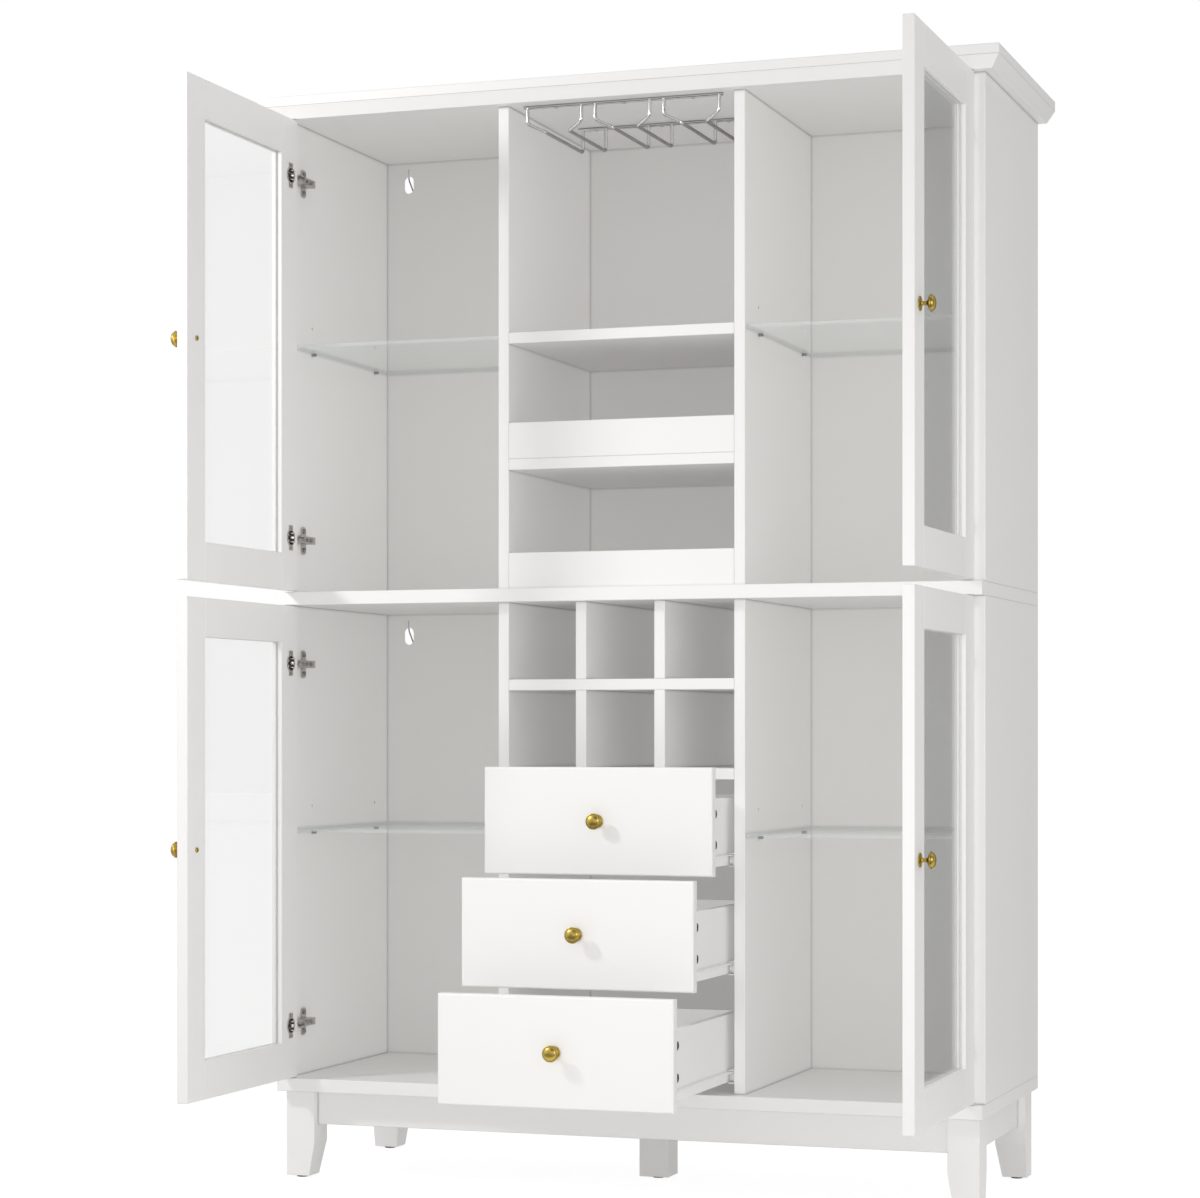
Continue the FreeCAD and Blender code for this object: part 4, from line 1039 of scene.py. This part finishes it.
class CABINET_OT_paint(bpy.types.Operator):
    """Finish the boards, doors, drawers, glass and runners that keep their CAD shape"""

    bl_idname = "cabinet.paint"
    bl_label = "Paint boards and fit glass"

    def execute(self, context):
        nodes = frame["nodes"]
        for name in PAINTED_NODES:
            clothe(nodes[name], "satin_paint")
        for door in DOORS:
            clothe(nodes[door + "_frame"], "door_paint")
            clothe(nodes[door + "_glass"], "door_glass")
        for drawer in DRAWERS:
            clothe(nodes[drawer + "_front"], "satin_paint")
            clothe(nodes[drawer + "_box"], "drawer_foil")
            clothe(nodes[drawer + "_runners"], "powder_coat")
        clothe(nodes["cabinet_runners"], "powder_coat")
        clothe(nodes["back_boards"], "back_face")
        clothe(nodes["glass_shelves"], "shelf_glass")
        clothe(nodes["panel_dowels"], "raw_beech")
        return {"FINISHED"}


class CABINET_OT_knobs(bpy.types.Operator):
    """Turn the brass knobs and the screws that hold them"""

    bl_idname = "cabinet.knobs"
    bl_label = "Turn the knobs"

    def execute(self, context):
        sizes = context.scene.cabinet_fittings
        template = turned_knob(sizes)
        screw = pan_head_screw()
        for owner in DOORS + DRAWERS:
            low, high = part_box(owner + "_knob")
            axis = odd_axis(low, high)
            outward = -inward(low, high, axis)
            front = (*seat_under(low, high, outward, axis, sizes.knob_reach), 1.0)
            back = (*seat_under(low, high, -outward, axis, KNOB_SCREW_SEAT_DEPTH), 1.0)
            knob = seated("knob_turning", template, [front], "satin_brass")
            fixing = seated("knob_fixing", screw, [back], "satin_brass")
            piece = creased(joined(owner + "_brass_knob", [knob, fixing]), degrees=KNOB_CREASE)
            settle(piece, owner + "_knob", "satin_brass")
        bpy.data.objects.remove(template)
        bpy.data.objects.remove(screw)
        return {"FINISHED"}


class CABINET_OT_rack(bpy.types.Operator):
    """Bend and weld the hanging rack for stemmed glasses"""

    bl_idname = "cabinet.rack"
    bl_label = "Bend the stemware rack"

    def execute(self, context):
        sizes = context.scene.cabinet_fittings
        low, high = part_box("stemware_rack")
        radius = sizes.rack_wire_radius
        ceiling = high.z
        bar_z = ceiling - radius
        front = low.y + radius
        rear = high.y - sizes.tab_width - radius
        slots = [index * sizes.rack_slot_pitch for index in (-1, 0, 1)]
        runs = [self.rail(sizes, slot, side, ceiling, front, rear) for slot in slots for side in (-1, 1)]
        front_reach = slots[-1] + sizes.rack_mouth_width / 2 + sizes.rack_front_overrun
        rear_reach = slots[-1] + sizes.rack_slot_width / 2 + sizes.rack_rear_overrun
        for y, reach in ((front, front_reach), (rear, rear_reach)):
            runs.append([(-reach, y, bar_z), (reach, y, bar_z)])
        rods = wires("rack_wires", runs, radius, sizes.rack_bend_radius, "bright_chrome")
        tabs = self.tabs(sizes, slots, (front, rear), ceiling)
        beads = self.beads(sizes, slots, front, rear, bar_z)
        piece = creased(joined("stemware_rack_wire", [rods, tabs, beads]))
        settle(piece, "stemware_rack", "bright_chrome")
        return {"FINISHED"}

    def rail(self, sizes, slot, side, ceiling, front, rear):
        """Points of one rail: front drop, flare, rail and rear drop."""
        mouth = slot + side * sizes.rack_mouth_width / 2
        rail = slot + side * sizes.rack_slot_width / 2
        bar_z = ceiling - sizes.rack_wire_radius
        shoulder = ceiling - sizes.rack_shoulder_drop
        rail_z = ceiling - sizes.rack_drop
        return [(mouth, front, bar_z), (mouth, front, shoulder), (rail, front + sizes.rack_flare, rail_z),
                (rail, rear, rail_z), (rail, rear, bar_z)]

    def tabs(self, sizes, slots, bars, ceiling):
        """Pressed screw tabs welded behind the cross wires."""
        built = bmesh.new()
        half = sizes.tab_length / 2
        for bar_y in bars:
            near = bar_y + sizes.rack_wire_radius * TAB_OVERLAP_SHARE
            far = bar_y + sizes.rack_wire_radius + sizes.tab_width
            for slot in slots:
                block(built, (slot - half, near, ceiling - TAB_THICKNESS),
                      (slot + half, far, ceiling - TAB_CEILING_GAP))
        return rounded(shape_object("rack_tabs", built), TAB_ROUND, segments=3)

    def beads(self, sizes, slots, front, rear, bar_z):
        """Small weld beads where each rail meets a cross wire."""
        radius = sizes.rack_wire_radius
        bead = bmesh.new()
        bmesh.ops.create_uvsphere(bead, u_segments=14, v_segments=8, radius=radius * BEAD_RADIUS_SHARE)
        template = shape_object("weld_bead", bead)
        seats = []
        for slot in slots:
            for side in (-1, 1):
                for across, y in ((sizes.rack_mouth_width / 2, front), (sizes.rack_slot_width / 2, rear)):
                    point = Vector((slot + side * across, y, bar_z - radius * BEAD_DROP_SHARE))
                    seats.append((point, facing_turn(UP), 1.0))
        made = seated("weld_beads", template, seats, "bright_chrome")
        bpy.data.objects.remove(template)
        return made


class CABINET_OT_hinges(bpy.types.Operator):
    """Dress the concealed hinges: cups and their screws on the doors, arms and plates inside"""

    bl_idname = "cabinet.hinges"
    bl_label = "Fit the hinges"

    def execute(self, context):
        screw = pan_head_screw()
        for door in DOORS:
            cup = hinge_cup(1 if "left" in door else -1)
            self.door_side(door, cup, screw)
            bpy.data.objects.remove(cup)
        for node_name, making in (("hinge_arms", "folded_"), ("hinge_plates", "pressed_")):
            settle(self.softened(node_name, making + node_name), node_name, "satin_nickel")
        bpy.data.objects.remove(screw)
        return {"FINISHED"}

    def door_side(self, door, cup, screw):
        """The cups and their screws on one door; a cup's box is the taller."""
        cups, screws = [], []
        for low, high in islands(door + "_hinges"):
            outward = inward(low, high, 0)
            if (high - low).z > CUP_LEAST_HEIGHT:
                cups.append((*seat_under(low, high, outward, 0, 2 * CUP_LIP), 1.0))
            else:
                screws.append((*seat_under(low, high, outward, 0, SCREW_SEAT_DEPTH), CUP_SCREW_SCALE))
        pressed = seated("pressed_cups", cup, cups, "satin_nickel")
        fixings = seated("cup_screws", screw, screws, "satin_nickel")
        piece = creased(joined(door + "_hinge_cups", [pressed, fixings]))
        settle(piece, door + "_hinges", "satin_nickel")

    def softened(self, node_name, name):
        """A welded copy of a CAD node with its edges rounded."""
        built = cad_copy(node_name)
        bmesh.ops.dissolve_limit(built, angle_limit=math.radians(1.0), verts=built.verts, edges=built.edges)
        return creased(rounded(shape_object(name, built), ARM_ROUND, angle=40.0), degrees=30)


class CABINET_OT_small_fittings(bpy.types.Operator):
    """Set the screws, shelf pins, cam locks, glides and rollers on their CAD places"""

    bl_idname = "cabinet.small_fittings"
    bl_label = "Set the small fittings"

    def execute(self, context):
        self.screws()
        self.pins()
        self.cams()
        self.glides()
        self.rollers()
        return {"FINISHED"}

    def fit(self, name, template, seats, node_name, finish_name):
        """Set a template on its seats, settle the result, and clear the template away."""
        settle(seated(name, template, seats, finish_name), node_name, finish_name)
        bpy.data.objects.remove(template)

    def screws(self):
        seats = []
        for low, high in islands("carcass_screws"):
            axis = odd_axis(low, high)
            across = max((high - low)[other] for other in range(3) if other != axis)
            seat = seat_under(low, high, inward(low, high, axis), axis, SCREW_SEAT_DEPTH)
            seats.append((*seat, across / (2 * SCREW_HEAD_RADIUS)))
        self.fit("cabinet_screws", pan_head_screw(), seats, "carcass_screws", "zinc_plate")

    def pins(self):
        """Each pin points from its upright to the middle of its own bay."""
        seats = []
        for low, high in islands("shelf_pins"):
            towards = inward(low, high, 0)
            outward = towards if abs((low + high).x / 2) > OUTER_BAY_MIDDLE else -towards
            seats.append((*seat_under(low, high, outward, 0), 1.0))
        self.fit("steel_shelf_pins", shelf_pin(), seats, "shelf_pins", "zinc_plate")

    def cams(self):
        for drawer in DRAWERS:
            seats = [(*seat_under(low, high, -inward(low, high, 0), 0), 1.0)
                     for low, high in islands(drawer + "_cams")]
            self.fit(drawer + "_cam_locks", cam_disc(), seats, drawer + "_cams", "dark_oxide")

    def glides(self):
        boxes = islands("glides")
        size = boxes[0][1] - boxes[0][0]
        seats = [(Vector(((low.x + high.x) / 2, (low.y + high.y) / 2, low.z)), facing_turn(UP), 1.0)
                 for low, high in boxes]
        self.fit("leg_glides", glide_foot(size.x / 2), seats, "glides", "black_plastic")

    def rollers(self):
        for drawer in DRAWERS:
            for end in ("_rear_rollers", "_front_rollers"):
                boxes = islands(drawer + end)
                size = boxes[0][1] - boxes[0][0]
                seats = [((low + high) / 2, facing_turn((1, 0, 0)), 1.0) for low, high in boxes]
                self.fit(drawer + end + "_nylon", roller_wheel(size.z / 2, size.x), seats,
                         drawer + end, "white_nylon")


class CABINET_OT_wall_ties(bpy.types.Operator):
    """Run the thin wall-tie wire across each hole in the back boards"""

    bl_idname = "cabinet.wall_ties"
    bl_label = "String the wall ties"

    def execute(self, context):
        sizes = context.scene.cabinet_fittings
        ties = [mount for mount in frame["record"]["mounts"] if mount["name"].endswith("wall_tie")]
        back_rear = max(high.y for _, high in islands("back_boards"))
        y = back_rear + sizes.tie_wire_radius
        runs = []
        for mount in ties:
            x, _, z = mount["pos_m"]
            side = math.copysign(1.0, x)
            runs.append([(x - side * across * MM, y, z + rise * MM) for across, rise in TIE_ROUTE])
        piece = wires("wall_tie_wires", runs, sizes.tie_wire_radius, sizes.tie_bend_radius, "dark_oxide")
        clothe(piece, "dark_oxide")
        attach(piece, "cabinet")
        return {"FINISHED"}


class CABINET_PT_panel(bpy.types.Panel):
    """Lists the steps and settings of the cabinet"""

    bl_idname = "CABINET_PT_panel"
    bl_label = "Wine cabinet"
    bl_space_type = "VIEW_3D"
    bl_region_type = "UI"
    bl_category = "Cabinet"

    def draw(self, context):
        layout = self.layout
        for operator in OPERATORS:
            layout.operator(operator.bl_idname)
        for group in SETTINGS:
            settings = getattr(context.scene, group)
            box = layout.box()
            for key in settings.__annotations__:
                box.prop(settings, key)


SETTINGS = {
    "cabinet_stage": StageSettings,
    "cabinet_finishes": FinishSettings,
    "cabinet_fittings": FittingSettings,
}
OPERATORS = (
    CABINET_OT_stage,
    CABINET_OT_paint,
    CABINET_OT_knobs,
    CABINET_OT_rack,
    CABINET_OT_hinges,
    CABINET_OT_small_fittings,
    CABINET_OT_wall_ties,
)
CLASSES = (*SETTINGS.values(), *OPERATORS, CABINET_PT_panel)


def register():
    for class_ in CLASSES:
        bpy.utils.register_class(class_)
    for name, group in SETTINGS.items():
        setattr(bpy.types.Scene, name, PointerProperty(type=group))


def unregister():
    for name in SETTINGS:
        delattr(bpy.types.Scene, name)
    for class_ in reversed(CLASSES):
        bpy.utils.unregister_class(class_)


def main():
    register()
    bpy.ops.cabinet.stage()
    bpy.ops.cabinet.paint()
    bpy.ops.cabinet.knobs()
    bpy.ops.cabinet.rack()
    bpy.ops.cabinet.hinges()
    bpy.ops.cabinet.small_fittings()
    bpy.ops.cabinet.wall_ties()


if __name__ == "__main__":
    main()
